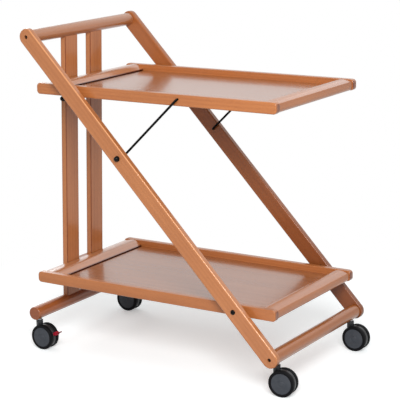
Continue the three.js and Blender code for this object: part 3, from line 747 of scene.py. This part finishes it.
def end_rail(name, inwards, material):
    """A rail across the shelf; inwards is +1 at the rear and -1 at the front."""
    low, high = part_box(name)
    width, height = high.x - low.x, high.z - low.z
    outline = end_rail_outline(width, height)
    half = size(name).y / 2 + JOINT_REACH
    # Its length is along X while it is built, so that the grain runs along the rail
    bm = prism([(-half, u, v) for u, v in outline], [(half, u, v) for u, v in outline])
    rounded(bm, END_EDGE, END_EDGE_STEPS, CURVED_FROM)
    turn = Matrix.Rotation(-inwards * math.pi / 2, 4, "Z")
    matrix = Matrix.Translation((low.x if inwards > 0 else high.x, 0, low.z)) @ turn
    # painted shade at and under the lip
    shade_y = width - LIP_SHADE_IN
    shade_z = LIP_HEIGHT + LIP + LIP_SHADE_UP
    dress(name, bm, material, matrix, seam=lambda co: float(co.y > shade_y and co.z < shade_z))


# Tray shelves: panels, with painted shade along the rails

PANEL_EDGE = 0.4 * MM
PANEL_EDGE_STEPS = 2
SHADE_REACH = 5 * MM  # painted shade's reach beside the front and rear rails
SIDE_SHADE_REACH = 3 * MM
FULL_SHADE_SHARE = 1 / 3  # of the painted shade's reach that is dark in full


def panel(name):
    """The shelf's thin board; its ends lie under the end rails' lips."""
    low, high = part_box(name)
    centre = middle(name)
    half = high - centre
    bm = rounded(block(low - centre, high - centre), PANEL_EDGE, PANEL_EDGE_STEPS)
    unshaded_x = half.x - END_SEAT - SHADE_REACH
    dark_x = half.x - END_SEAT - SHADE_REACH * FULL_SHADE_SHARE
    unshaded_y = half.y - SIDE_SHADE_REACH
    dark_y = half.y - SIDE_SHADE_REACH * FULL_SHADE_SHARE
    for place, normal in ((unshaded_x, X_AXIS), (dark_x, X_AXIS), (unshaded_y, Y_AXIS), (dark_y, Y_AXIS)):
        for side in (-1, 1):
            bmesh.ops.bisect_plane(bm, geom=bm.verts[:] + bm.edges[:] + bm.faces[:],
                                   plane_co=normal * place * side, plane_no=normal)
    # painted shade in strips beside the rails
    shade_x = (unshaded_x + dark_x) / 2
    shade_y = (unshaded_y + dark_y) / 2
    dress(name, bm, PANEL_WOOD, Matrix.Translation(centre),
          seam=lambda co: float(abs(co.x) > shade_x or abs(co.y) > shade_y))


for shelf in ("upper_shelf", "lower_shelf"):
    for side, sign in SIDES:
        side_rail(f"{shelf}_{side}_rail", -sign)
    end_rail(f"{shelf}_rear_rail", 1, REAR_RAIL_WOOD)
    end_rail(f"{shelf}_front_rail", -1, WOOD)
    panel(f"{shelf}_panel")


# Upper shelf's hinge block

BLOCK_EDGE = 1.2 * MM
BLOCK_PAD = 11 * MM
BLOCK_PAD_IN = 5 * MM  # pad's rear end, from the rear rail's face
BLOCK_BOSS = 12 * MM
BOSS_START = 120  # degrees: where the boss's round starts, behind the pad
BOSS_END = 303.6  # and where the slope up to the pad's front end leaves it
BOSS_STEPS = 20
ROD_HOLE = 3.3 * MM


def hinge_block():
    """A block between the slats: a round boss on the rod and a pad under the rear rail."""
    name = "upper_shelf_hinge_block"
    low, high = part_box(name)
    rod = joint_point("upper_shelf_fold")
    pad_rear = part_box("upper_shelf_rear_rail")[0].x + BLOCK_PAD_IN
    outline = arc(rod.x, rod.z, BLOCK_BOSS, BOSS_START, BOSS_END, BOSS_STEPS)
    outline += [(high.x, high.z - BLOCK_PAD), (high.x, high.z), (pad_rear, high.z)]
    bm = rounded(extruded(outline, low.y, high.y), BLOCK_EDGE, least=CURVED_FROM)
    hole = bore(rod.x, rod.z, ROD_HOLE, low.y - OVERRUN, high.y + OVERRUN)
    dress(name, combined(bm, "DIFFERENCE", [hole]), WOOD)


hinge_block()


# Lower shelf's slider, built in the slats' own frame: X down the slats, Z behind them

SLIDER_TOP = 7.2 * MM
SLIDER_FOOT = 34 * MM
SLIDER_PLATE = 6 * MM
SLIDER_GAP = 0.3 * MM
SLIDER_IN_GAP = 0.7 * MM
SLIDER_NOSE = 7.2 * MM
SLIDER_EDGE = 1.0 * MM
SLAT_MATRIX = Matrix.Translation(HANDLE) @ SLAT_TURN


def slider():
    """A block in the gap between the slats, a plate behind them and a nose round the hinge pin."""
    pin = SLAT_MATRIX.inverted() @ joint_point("lower_shelf_fold")
    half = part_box("left_rear_slat")[0].y - SLIDER_IN_GAP
    wing = size("lower_shelf_slider").y / 2
    top, foot = pin.x - SLIDER_TOP, pin.x + SLIDER_FOOT
    plate = -SLAT_HALF_THICK - SLIDER_GAP
    core = rounded(block((top, -half, plate - SLIDER_PLATE / 2), (foot, half, SLAT_HALF_THICK)),
                   SLIDER_EDGE)
    back = rounded(block((top, -wing, plate - SLIDER_PLATE), (foot, wing, plate)), SLIDER_EDGE)
    nose = turned(softened(-half, half, SLIDER_NOSE, SLIDER_EDGE), MID_STEPS, "Y")
    moved(nose, (pin.x, 0, pin.z))
    bridge = block((pin.x - SLIDER_NOSE, -half, 0), (pin.x + SLIDER_NOSE, half, pin.z))
    bm = combined(core, "UNION", [back, bridge, nose])
    hole = bore(pin.x, pin.z, ROD_HOLE, -half - OVERRUN, half + OVERRUN)
    dress("lower_shelf_slider", combined(bm, "DIFFERENCE", [hole]), WOOD, SLAT_MATRIX)


slider()


# Nuts, bolts and screws; a profile is (distance out from the face that carries it, radius)

TURNED_EDGE = 0.2 * MM
NUT_GAP = 0.3 * MM
FLANGE_RADIUS = 7.2 * MM
FLANGE_THICK = 1.2 * MM
NUT_RADIUS = 6.4 * MM
NUT_FOOT_OUT = 0.15 * MM  # the fillet between flange and nut
NUT_FOOT_WIDER = 0.1 * MM
DOME_START = 4.4 * MM
DOME_HEIGHT = 5.8 * MM
DOME_ANGLES = range(12, 91, 6)  # degrees up the dome
CAP_NUT = [(0, 0), (0, FLANGE_RADIUS - TURNED_EDGE), (TURNED_EDGE, FLANGE_RADIUS),
           (FLANGE_THICK - TURNED_EDGE, FLANGE_RADIUS), (FLANGE_THICK, FLANGE_RADIUS - TURNED_EDGE),
           (FLANGE_THICK + NUT_FOOT_OUT, NUT_RADIUS + NUT_FOOT_WIDER), (DOME_START, NUT_RADIUS)]
CAP_NUT += [(DOME_START + DOME_HEIGHT * math.sin(a), NUT_RADIUS * math.cos(a))
            for a in map(math.radians, DOME_ANGLES)]

HEAD_GAP = 0.3 * MM
HEAD_RADIUS = 6.2 * MM
HEAD_RIM = 1.3 * MM  # where the head's low dome starts
HEAD_TOP = 2.9 * MM
HEAD_DOME = ((1.9 * MM, 5.9 * MM), (2.4 * MM, 5.2 * MM), (2.8 * MM, 4.2 * MM), (HEAD_TOP, 3.0 * MM))
HEAD_SOCKET = 2.4 * MM
HEAD_SOCKET_FLOOR = 1.5 * MM
PIVOT_HEAD = [(HEAD_GAP, 0), (HEAD_GAP, HEAD_RADIUS - TURNED_EDGE),
              (HEAD_GAP + TURNED_EDGE, HEAD_RADIUS), (HEAD_RIM, HEAD_RADIUS), *HEAD_DOME,
              (HEAD_TOP, HEAD_SOCKET), (HEAD_SOCKET_FLOOR, HEAD_SOCKET), (HEAD_SOCKET_FLOOR, 0)]

SCREW_END = 30.5 * MM  # how deep the screw goes in
SCREW_TAPER = 2.4 * MM
SCREW_TAPER_EDGE = 0.4 * MM
SCREW_RADIUS = 2.4 * MM
SCREW_HEAD_RADIUS = 4.3 * MM
SCREW_HEAD_UNDER = 5.9 * MM
SCREW_HEAD_TOP = 2.5 * MM
SCREW_HEAD_EDGE = 0.4 * MM
SCREW_SOCKET = 2.15 * MM
SCREW_SOCKET_FLOOR = 4.5 * MM
SUNK_SCREW = [(-SCREW_END, 0), (-SCREW_END + SCREW_TAPER / 2, SCREW_RADIUS - SCREW_TAPER_EDGE),
              (-SCREW_END + SCREW_TAPER, SCREW_RADIUS), (-SCREW_HEAD_UNDER, SCREW_RADIUS),
              (-SCREW_HEAD_UNDER, SCREW_HEAD_RADIUS - TURNED_EDGE),
              (-SCREW_HEAD_UNDER + TURNED_EDGE, SCREW_HEAD_RADIUS),
              (-SCREW_HEAD_TOP - SCREW_HEAD_EDGE, SCREW_HEAD_RADIUS),
              (-SCREW_HEAD_TOP, SCREW_HEAD_RADIUS - SCREW_HEAD_EDGE),
              (-SCREW_HEAD_TOP, SCREW_SOCKET), (-SCREW_SOCKET_FLOOR, SCREW_SOCKET),
              (-SCREW_SOCKET_FLOOR, 0)]


def fastener(name, sign, start, profile, material):
    """A turned piece with its axis along Y; start is the Y of its profile's zero."""
    centre = middle(name)
    bm = turned([(sign * along, radius) for along, radius in profile], COARSE_STEPS, "Y")
    dress(name, bm, material, Matrix.Translation((centre.x, sign * start, centre.z)))


for side, sign in SIDES:
    slat_outer = max(abs(corner.y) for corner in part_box(f"{side}_rear_slat"))
    fastener(f"{side}_stay_cap_nut", sign, LEG_OUTER + NUT_GAP, CAP_NUT, GLOSSY_BLACK)
    fastener(f"{side}_rod_cap_nut", sign, slat_outer + NUT_GAP, CAP_NUT, GLOSSY_BLACK)
    fastener(f"{side}_shelf_pivot_bolt", sign, LEG_OUTER, PIVOT_HEAD, GLOSSY_BLACK)
    fastener(f"{side}_handle_screw", sign, LEG_OUTER, SUNK_SCREW, DARK_SCREW)
    fastener(f"{side}_foot_screw", sign, LEG_OUTER, SUNK_SCREW, DARK_SCREW)


# Stays

STAY_RADIUS = 2.9 * MM
STAY_CLEARANCE = 1.3 * MM
STAY_LEG_BEND = 6 * MM
STAY_LEG_STEPS = 12
STAY_TIP_BEND = 3.4 * MM
STAY_TIP_STEPS = 8
STAY_TIP_GAP = 0.3 * MM


def bend(cx, cy, radius, start, end, steps):
    """Stations of a path on a bend: each a point and the direction in which the path goes on."""
    turning = 1 if end > start else -1
    stations = []
    for k in range(steps + 1):
        a = math.radians(start + (end - start) * k / steps)
        stations.append(((cx + radius * math.cos(a), cy + radius * math.sin(a)),
                         (-turning * math.sin(a), turning * math.cos(a))))
    return stations


def stay(side, sign):
    """A round rod between the upper shelf and the leg, bent outwards at both ends."""
    name = f"{side}_stay"
    low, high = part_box(name)
    pivot = joint_point(f"{name}_fold")
    pin = Vector((high.x - STAY_RADIUS, 0, high.z - STAY_RADIUS))
    run = pin - Vector((pivot.x, 0, pivot.z))
    shelf_side = max(abs(corner.y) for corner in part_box(f"upper_shelf_{side}_rail"))
    line = shelf_side + STAY_CLEARANCE + STAY_RADIUS
    stations = [((run.length, shelf_side + STAY_TIP_GAP), (0, 1))]
    stations += bend(run.length - STAY_TIP_BEND, line - STAY_TIP_BEND, STAY_TIP_BEND, 0, 90,
                     STAY_TIP_STEPS)
    stations += bend(STAY_LEG_BEND, line + STAY_LEG_BEND, STAY_LEG_BEND, 270, 180, STAY_LEG_STEPS)
    stations += [((0, max(abs(low.y), abs(high.y))), (0, 1))]
    bm = tube(stations, STAY_RADIUS, THIN_STEPS)
    if sign < 0:
        mirrored(bm)
    matrix = (Matrix.Translation((pivot.x, 0, pivot.z))
              @ turned_about_y(-math.atan2(run.z, run.x)))
    dress(name, bm, BLACK_STEEL, matrix)


for side, sign in SIDES:
    stay(side, sign)


# Casters: wheels. Each caster is built about its axle, with +X forward and this wheel at -Y

WHEEL_INNER = 5.5 * MM
WHEEL_OUTER = 16.5 * MM
WHEEL_RADIUS = 33 * MM
TREAD_ROUND = 2.6 * MM
TREAD_STEPS = 6
HUB_RADIUS = 25.8 * MM
HUB_SINK = 1.4 * MM
HUB_BACK = 0.2 * MM
HUB_GAP = 0.35 * MM
# The raised ring round the hub: depth under the wheel's side face, distance out from the hub
RING_STATIONS = ((0.9 * MM, 0.15 * MM), (0.3 * MM, 0.7 * MM), (0, 1.7 * MM))
# The disc's face from its edge to its centre: shares of its radius, and heights over its seat
HUB_SHARES = (1.0, 0.985, 0.95, 0.7, 0.42, 0.36, 0.33, 0.30, 0.27, 0.22, 0)
HUB_HEIGHTS = [h * MM for h in (0.55, 0.9, 1.05, 1.5, 1.75, 1.8, 1.35, 1.3, 2.0, 2.1, 2.12)]


def tread():
    """A wheel's black body: a rounded running surface and a raised ring round its hub disc."""
    profile = [(-WHEEL_OUTER + HUB_SINK, 0), (-WHEEL_OUTER + HUB_SINK, HUB_RADIUS)]
    profile += [(-WHEEL_OUTER + depth, HUB_RADIUS + out) for depth, out in RING_STATIONS]
    profile += rim(-WHEEL_OUTER, WHEEL_RADIUS, TREAD_ROUND, -1, TREAD_STEPS)
    profile += rim(-WHEEL_INNER, WHEEL_RADIUS, TREAD_ROUND, 1, TREAD_STEPS)
    return turned(profile + [(-WHEEL_INNER, 0)], FINE_STEPS, "Y")


def hub():
    """A shallow domed disc set in the wheel, with a groove and a low boss at its centre."""
    base = -WHEEL_OUTER + HUB_SINK
    reach = HUB_RADIUS - HUB_GAP
    profile = [(base + HUB_BACK, 0), (base + HUB_BACK, reach)]
    profile += [(base - height, share * reach) for share, height in zip(HUB_SHARES, HUB_HEIGHTS)]
    return turned(profile, FINE_STEPS, "Y")


# Casters: housing and stem

TRAIL = 16.5 * MM
STEM_PLACE = (-TRAIL, 0, 0)
WEB_RADIUS = 31.4 * MM
WEB_HALF = 5.0 * MM
WEB_EDGE = 1.2 * MM
WEB_FOOT = 20 * MM  # the web ends this far under the axle
NECK_RADIUS = 9.0 * MM
NECK_BASE = 34.2 * MM
NECK_TOP = 42.6 * MM
NECK_ROOT = 6 * MM  # how far the neck runs down into the bridge
NECK_ROOT_IN = 3 * MM
NECK_EDGE = 1.2 * MM
NECK_EDGE_MID = 0.4 * MM
NECK_SHOULDER = 1.0 * MM
NECK = [(NECK_BASE - NECK_ROOT, 0), (NECK_BASE - NECK_ROOT, NECK_RADIUS - NECK_ROOT_IN),
        (NECK_BASE, NECK_RADIUS - NECK_EDGE), (NECK_BASE + NECK_SHOULDER, NECK_RADIUS),
        (NECK_TOP - NECK_EDGE, NECK_RADIUS), (NECK_TOP - NECK_EDGE_MID, NECK_RADIUS - NECK_EDGE_MID),
        (NECK_TOP, NECK_RADIUS - NECK_EDGE), (NECK_TOP, 0)]
BRIDGE_UP = 2 * MM  # how far the bridge runs up into the neck
BRIDGE_EDGE = 0.5 * MM
BRIDGE_EDGE_STEPS = 2
STEM_RADIUS = 4.0 * MM
STEM_HOLE = 4.3 * MM
STEM_LOW = 30.6 * MM
STEM_HIGH = 68 * MM
STEM_EDGE = 0.6 * MM
COLLAR_RADIUS = 6.4 * MM
COLLAR_LOW = 42.9 * MM
COLLAR_HIGH = 45.7 * MM
COLLAR_EDGE = 0.4 * MM
STEM = [(STEM_LOW, 0), (STEM_LOW, STEM_RADIUS - STEM_EDGE), (STEM_LOW + STEM_EDGE, STEM_RADIUS),
        (COLLAR_LOW, STEM_RADIUS), (COLLAR_LOW, COLLAR_RADIUS - COLLAR_EDGE),
        (COLLAR_LOW + COLLAR_EDGE, COLLAR_RADIUS), (COLLAR_HIGH - COLLAR_EDGE, COLLAR_RADIUS),
        (COLLAR_HIGH, COLLAR_RADIUS - COLLAR_EDGE), (COLLAR_HIGH, STEM_RADIUS),
        (STEM_HIGH - STEM_EDGE, STEM_RADIUS), (STEM_HIGH, STEM_RADIUS - STEM_EDGE), (STEM_HIGH, 0)]
LEVER_NOTCH = 5.8 * MM  # radius of the notch about the lever's pins
LEVER_SLOT = 3.8 * MM  # and half its width


def housing(lever_place):
    """A round web between the wheels under a neck for the stem, with a notch for any lever."""
    web = turned(softened(-WEB_HALF, WEB_HALF, WEB_RADIUS, WEB_EDGE), FINE_STEPS, "Y")
    neck = moved(turned(NECK, MID_STEPS, "Z"), STEM_PLACE)
    reach = math.sqrt(NECK_RADIUS ** 2 - WEB_HALF ** 2)
    bridge = rounded(block((-TRAIL - reach, -WEB_HALF, 0),
                           (-TRAIL + reach, WEB_HALF, NECK_BASE + BRIDGE_UP)),
                     BRIDGE_EDGE, BRIDGE_EDGE_STEPS)
    bm = combined(web, "UNION", [bridge, neck])
    stem_hole = cylinder(STEM_LOW - OVERRUN, NECK_TOP + 2 * OVERRUN, STEM_HOLE, "Z")
    clear, clear_half = WEB_RADIUS + OVERRUN, WEB_HALF + OVERRUN
    under = block((-clear, -clear_half, -clear), (clear, clear_half, -WEB_FOOT))
    cutters = [moved(stem_hole, STEM_PLACE), under]
    if lever_place is not None:
        cutters.append(bore(lever_place.x, lever_place.z, LEVER_NOTCH, -LEVER_SLOT, LEVER_SLOT))
    return combined(bm, "DIFFERENCE", cutters)


def stem():
    """The post with its collar."""
    return moved(turned(STEM, MID_STEPS, "Z"), STEM_PLACE)


# Casters: brake lever, built about its pins, with +X along its arm

LEVER_SLOPE = math.radians(22)
LEVER_BOSS = 4.2 * MM
LEVER_HALF = 3.2 * MM
LEVER_EDGE = 0.4 * MM
LEVER_PIN = 1.5 * MM
LEVER_PIN_HALF = 4.7 * MM
LEVER_PIN_EDGE = 0.2 * MM
ARM_END = 9.6 * MM
ARM_HALF_HEIGHT = 2.5 * MM
PAD_START = 7.6 * MM
PAD_END = 17 * MM
PAD_HALF = 5 * MM
PAD_HALF_HEIGHT = 4.8 * MM
PAD_EDGE = 1.2 * MM
TIP_START = 15 * MM
TIP_END = 27 * MM
TIP_HALF = 5.8 * MM
TIP_HALF_HEIGHT = 1.5 * MM
TIP_EDGE = 0.9 * MM


def lever_block(start, end, half, half_height):
    return block((start, -half, -half_height), (end, half, half_height))


def lever_arm():
    """The red lever: a boss on its pins, an arm and a block at its end."""
    boss = turned(softened(-LEVER_HALF, LEVER_HALF, LEVER_BOSS, LEVER_EDGE), COARSE_STEPS, "Y")
    pins = turned(softened(-LEVER_PIN_HALF, LEVER_PIN_HALF, LEVER_PIN, LEVER_PIN_EDGE), THIN_STEPS,
                  "Y")
    arm = lever_block(0, ARM_END, LEVER_HALF, ARM_HALF_HEIGHT)
    pad = rounded(lever_block(PAD_START, PAD_END, PAD_HALF, PAD_HALF_HEIGHT), PAD_EDGE, EDGE_STEPS)
    return combined(boss, "UNION", [pins, arm, pad])


def lever_tip():
    """The thin tip that the foot presses."""
    return rounded(lever_block(TIP_START, TIP_END, TIP_HALF, TIP_HALF_HEIGHT), TIP_EDGE, EDGE_STEPS)


# Casters: all the pieces of each

def caster(name, corner):
    """The pieces of one caster, placed at its axle and turned as its frame says."""
    wheel_joint = joint(f"{corner}_outer_spin")
    axis = wheel_joint["axis"]
    turn = Matrix.Rotation(math.atan2(-axis[0], axis[1]), 4, "Z")
    matrix = Matrix.Translation(wheel_joint["pos_m"]) @ turn
    lever = f"{name}_brake_lever"
    lever_place = None
    if lever in frame["nodes"]:
        lever_place = matrix.inverted() @ joint_point(f"{corner}_brake_press")
    dress(f"{name}_housing", housing(lever_place), HOUSING, matrix)
    dress(f"{name}_stem", stem(), CHROME, matrix)
    for side, sign in SIDES:
        wheel = f"{name}_{side}_wheel"
        body, disc = tread(), hub()
        if sign > 0:
            mirrored(body)
            mirrored(disc)
        dress(wheel, body, RUBBER, matrix)
        piece(f"{wheel}_hub", disc, HUB, body_of(wheel), None, matrix)
    if lever_place is not None:
        lever_matrix = matrix @ Matrix.Translation(lever_place) @ turned_about_y(-LEVER_SLOPE)
        dress(lever, lever_arm(), RED, lever_matrix)
        # the tip in darker red: painted shade
        piece(f"{lever}_tip", lever_tip(), SHADED_TIP_RED, body_of(lever), None, lever_matrix)


for corner in CORNERS:
    caster(f"{corner}_caster", corner)


# Pieces that keep their CAD shape: inner pins and axles, and the spacers

def finished(name, material):
    mesh = frame["nodes"][name].data
    mesh.materials.clear()
    mesh.materials.append(material)


for name in ("shelf_hinge_rod", "lower_shelf_hinge_pin", *(f"{c}_caster_axle" for c in CORNERS)):
    finished(name, ZINC)
for side, _ in SIDES:
    finished(f"{side}_shelf_pivot_spacer", BLACK_PLASTIC)


# Camera, fitted to the photograph

CAMERA_PLACE = (1.99913, -3.10198, 1.26523)
CAMERA_AZIMUTH = math.radians(32.707)
CAMERA_ELEVATION = math.radians(13.164)
CAMERA_ROLL = math.radians(-1.086)
FOCAL_PIXELS = 1491.888
FRAME_PIXELS = 400
CENTRE_PIXEL = (199.29, 198.10)
SENSOR = 36
CLIP_END = 50


def make_camera():
    data = bpy.data.cameras.new("camera")
    data.sensor_width = SENSOR
    data.lens = FOCAL_PIXELS / FRAME_PIXELS * SENSOR
    data.shift_x = (FRAME_PIXELS / 2 - CENTRE_PIXEL[0]) / FRAME_PIXELS
    data.shift_y = (CENTRE_PIXEL[1] - FRAME_PIXELS / 2) / FRAME_PIXELS
    data.clip_end = CLIP_END
    camera = bpy.data.objects.new("camera", data)
    back = Vector((math.sin(CAMERA_AZIMUTH) * math.cos(CAMERA_ELEVATION),
                   -math.cos(CAMERA_AZIMUTH) * math.cos(CAMERA_ELEVATION),
                   math.sin(CAMERA_ELEVATION)))
    right = Vector((math.cos(CAMERA_AZIMUTH), math.sin(CAMERA_AZIMUTH), 0))
    up = back.cross(right)
    turned_right = right * math.cos(CAMERA_ROLL) + up * math.sin(CAMERA_ROLL)
    turned_up = up * math.cos(CAMERA_ROLL) - right * math.sin(CAMERA_ROLL)
    rotation = Matrix((turned_right, turned_up, back)).transposed().to_4x4()
    camera.matrix_world = Matrix.Translation(CAMERA_PLACE) @ rotation
    bpy.context.scene.collection.objects.link(camera)
    bpy.context.scene.camera = camera


make_camera()


# Floor, lamps and world

FLOOR_SIZE = 14.0
FLOOR_TONE = (0.88, 0.92, 0.93)
FLOOR_BOUNCE = (0.50, 0.50, 0.50)  # its colour for the light that it throws on the object
FLOOR_LIFT = 0.37  # added where it is seen, so that it reads as white
SHADOW_NEAR = 0.50  # metres from the middle: shading in full
SHADOW_FAR = 1.05  # and none from here on
WORLD_LIGHT = 0.3  # the world's strength on the object
WORLD_SEEN = 1.0  # and where it is seen


def seen_directly(tree):
    """1 for the camera's rays and those that reflections and clear pieces send on, else 0."""
    rays = tree.nodes.new("ShaderNodeLightPath").outputs
    direct = math_node(tree, "MAXIMUM", rays["Is Camera Ray"], rays["Is Glossy Ray"])
    return math_node(tree, "MAXIMUM", direct, rays["Is Transmission Ray"])


def floor_material():
    """A pale floor that keeps the shadow near the object and turns to plain white further off."""
    material, tree, principled = shader("pale_floor", roughness=0.9, specular=0.1)
    direct = seen_directly(tree)
    tone = mixed(tree, "MIX", direct, FLOOR_BOUNCE, FLOOR_TONE)
    tree.links.new(tone, principled.inputs["Base Color"])
    lift = node(tree, "ShaderNodeEmission", Color=(*WHITE, 1))
    tree.links.new(math_node(tree, "MULTIPLY", direct, FLOOR_LIFT), lift.inputs["Strength"])
    lifted = tree.nodes.new("ShaderNodeAddShader")
    tree.links.new(principled.outputs[0], lifted.inputs[0])
    tree.links.new(lift.outputs[0], lifted.inputs[1])
    distance = tree.nodes.new("ShaderNodeVectorMath")
    distance.operation = "LENGTH"
    tree.links.new(tree.nodes.new("ShaderNodeTexCoord").outputs["Object"], distance.inputs[0])
    away = node(tree, "ShaderNodeMapRange", From_Min=SHADOW_NEAR, From_Max=SHADOW_FAR)
    away.interpolation_type = "SMOOTHSTEP"
    tree.links.new(distance.outputs["Value"], away.inputs["Value"])
    white = node(tree, "ShaderNodeEmission", Color=(*WHITE, 1), Strength=1.0)
    blend = tree.nodes.new("ShaderNodeMixShader")
    tree.links.new(math_node(tree, "MULTIPLY", away.outputs["Result"], direct), blend.inputs[0])
    tree.links.new(lifted.outputs[0], blend.inputs[1])
    tree.links.new(white.outputs[0], blend.inputs[2])
    tree.links.new(blend.outputs[0], tree.nodes["Material Output"].inputs["Surface"])
    return material


def make_floor():
    mesh = bpy.data.meshes.new("floor")
    half = FLOOR_SIZE / 2
    corners = [(-half, -half, 0), (half, -half, 0), (half, half, 0), (-half, half, 0)]
    mesh.from_pydata(corners, [], [(0, 1, 2, 3)])
    floor = bpy.data.objects.new("floor", mesh)
    floor.location.z = cad_low.z
    bpy.context.scene.collection.objects.link(floor)
    floor.data.materials.append(floor_material())


def make_lamp(name, place, aim_height, width, height, watts):
    """An area lamp aimed at a point over the middle of the floor."""
    data = bpy.data.lights.new(name, "AREA")
    data.shape = "RECTANGLE"
    data.size = width
    data.size_y = height
    data.energy = watts
    lamp = bpy.data.objects.new(name, data)
    lamp.location = place
    aim = Vector((0, 0, aim_height)) - Vector(place)
    lamp.rotation_euler = aim.to_track_quat("-Z", "Y").to_euler()
    bpy.context.scene.collection.objects.link(lamp)


def make_world():
    world = bpy.data.worlds.new("studio")
    bpy.context.scene.world = world
    world.use_nodes = True
    tree = world.node_tree
    background = tree.nodes["Background"]
    background.inputs["Color"].default_value = (*WHITE, 1)
    level = mapped(tree, seen_directly(tree), To_Min=WORLD_LIGHT, To_Max=WORLD_SEEN)
    tree.links.new(level, background.inputs["Strength"])


make_floor()
make_lamp("top", (-0.7, -0.1, 3.0), aim_height=0.4, width=2.2, height=2.2, watts=9)
make_lamp("key", (1.75, -2.5, 2.05), aim_height=0.5, width=1.6, height=1.2, watts=112)
make_lamp("back", (0.2, 3.0, 2.2), aim_height=0.5, width=3.0, height=1.6, watts=9)
make_lamp("fill", (-2.8, 1.6, 1.5), aim_height=0.4, width=1.8, height=1.4, watts=22)
make_world()
bpy.context.scene.view_settings.view_transform = "Standard"
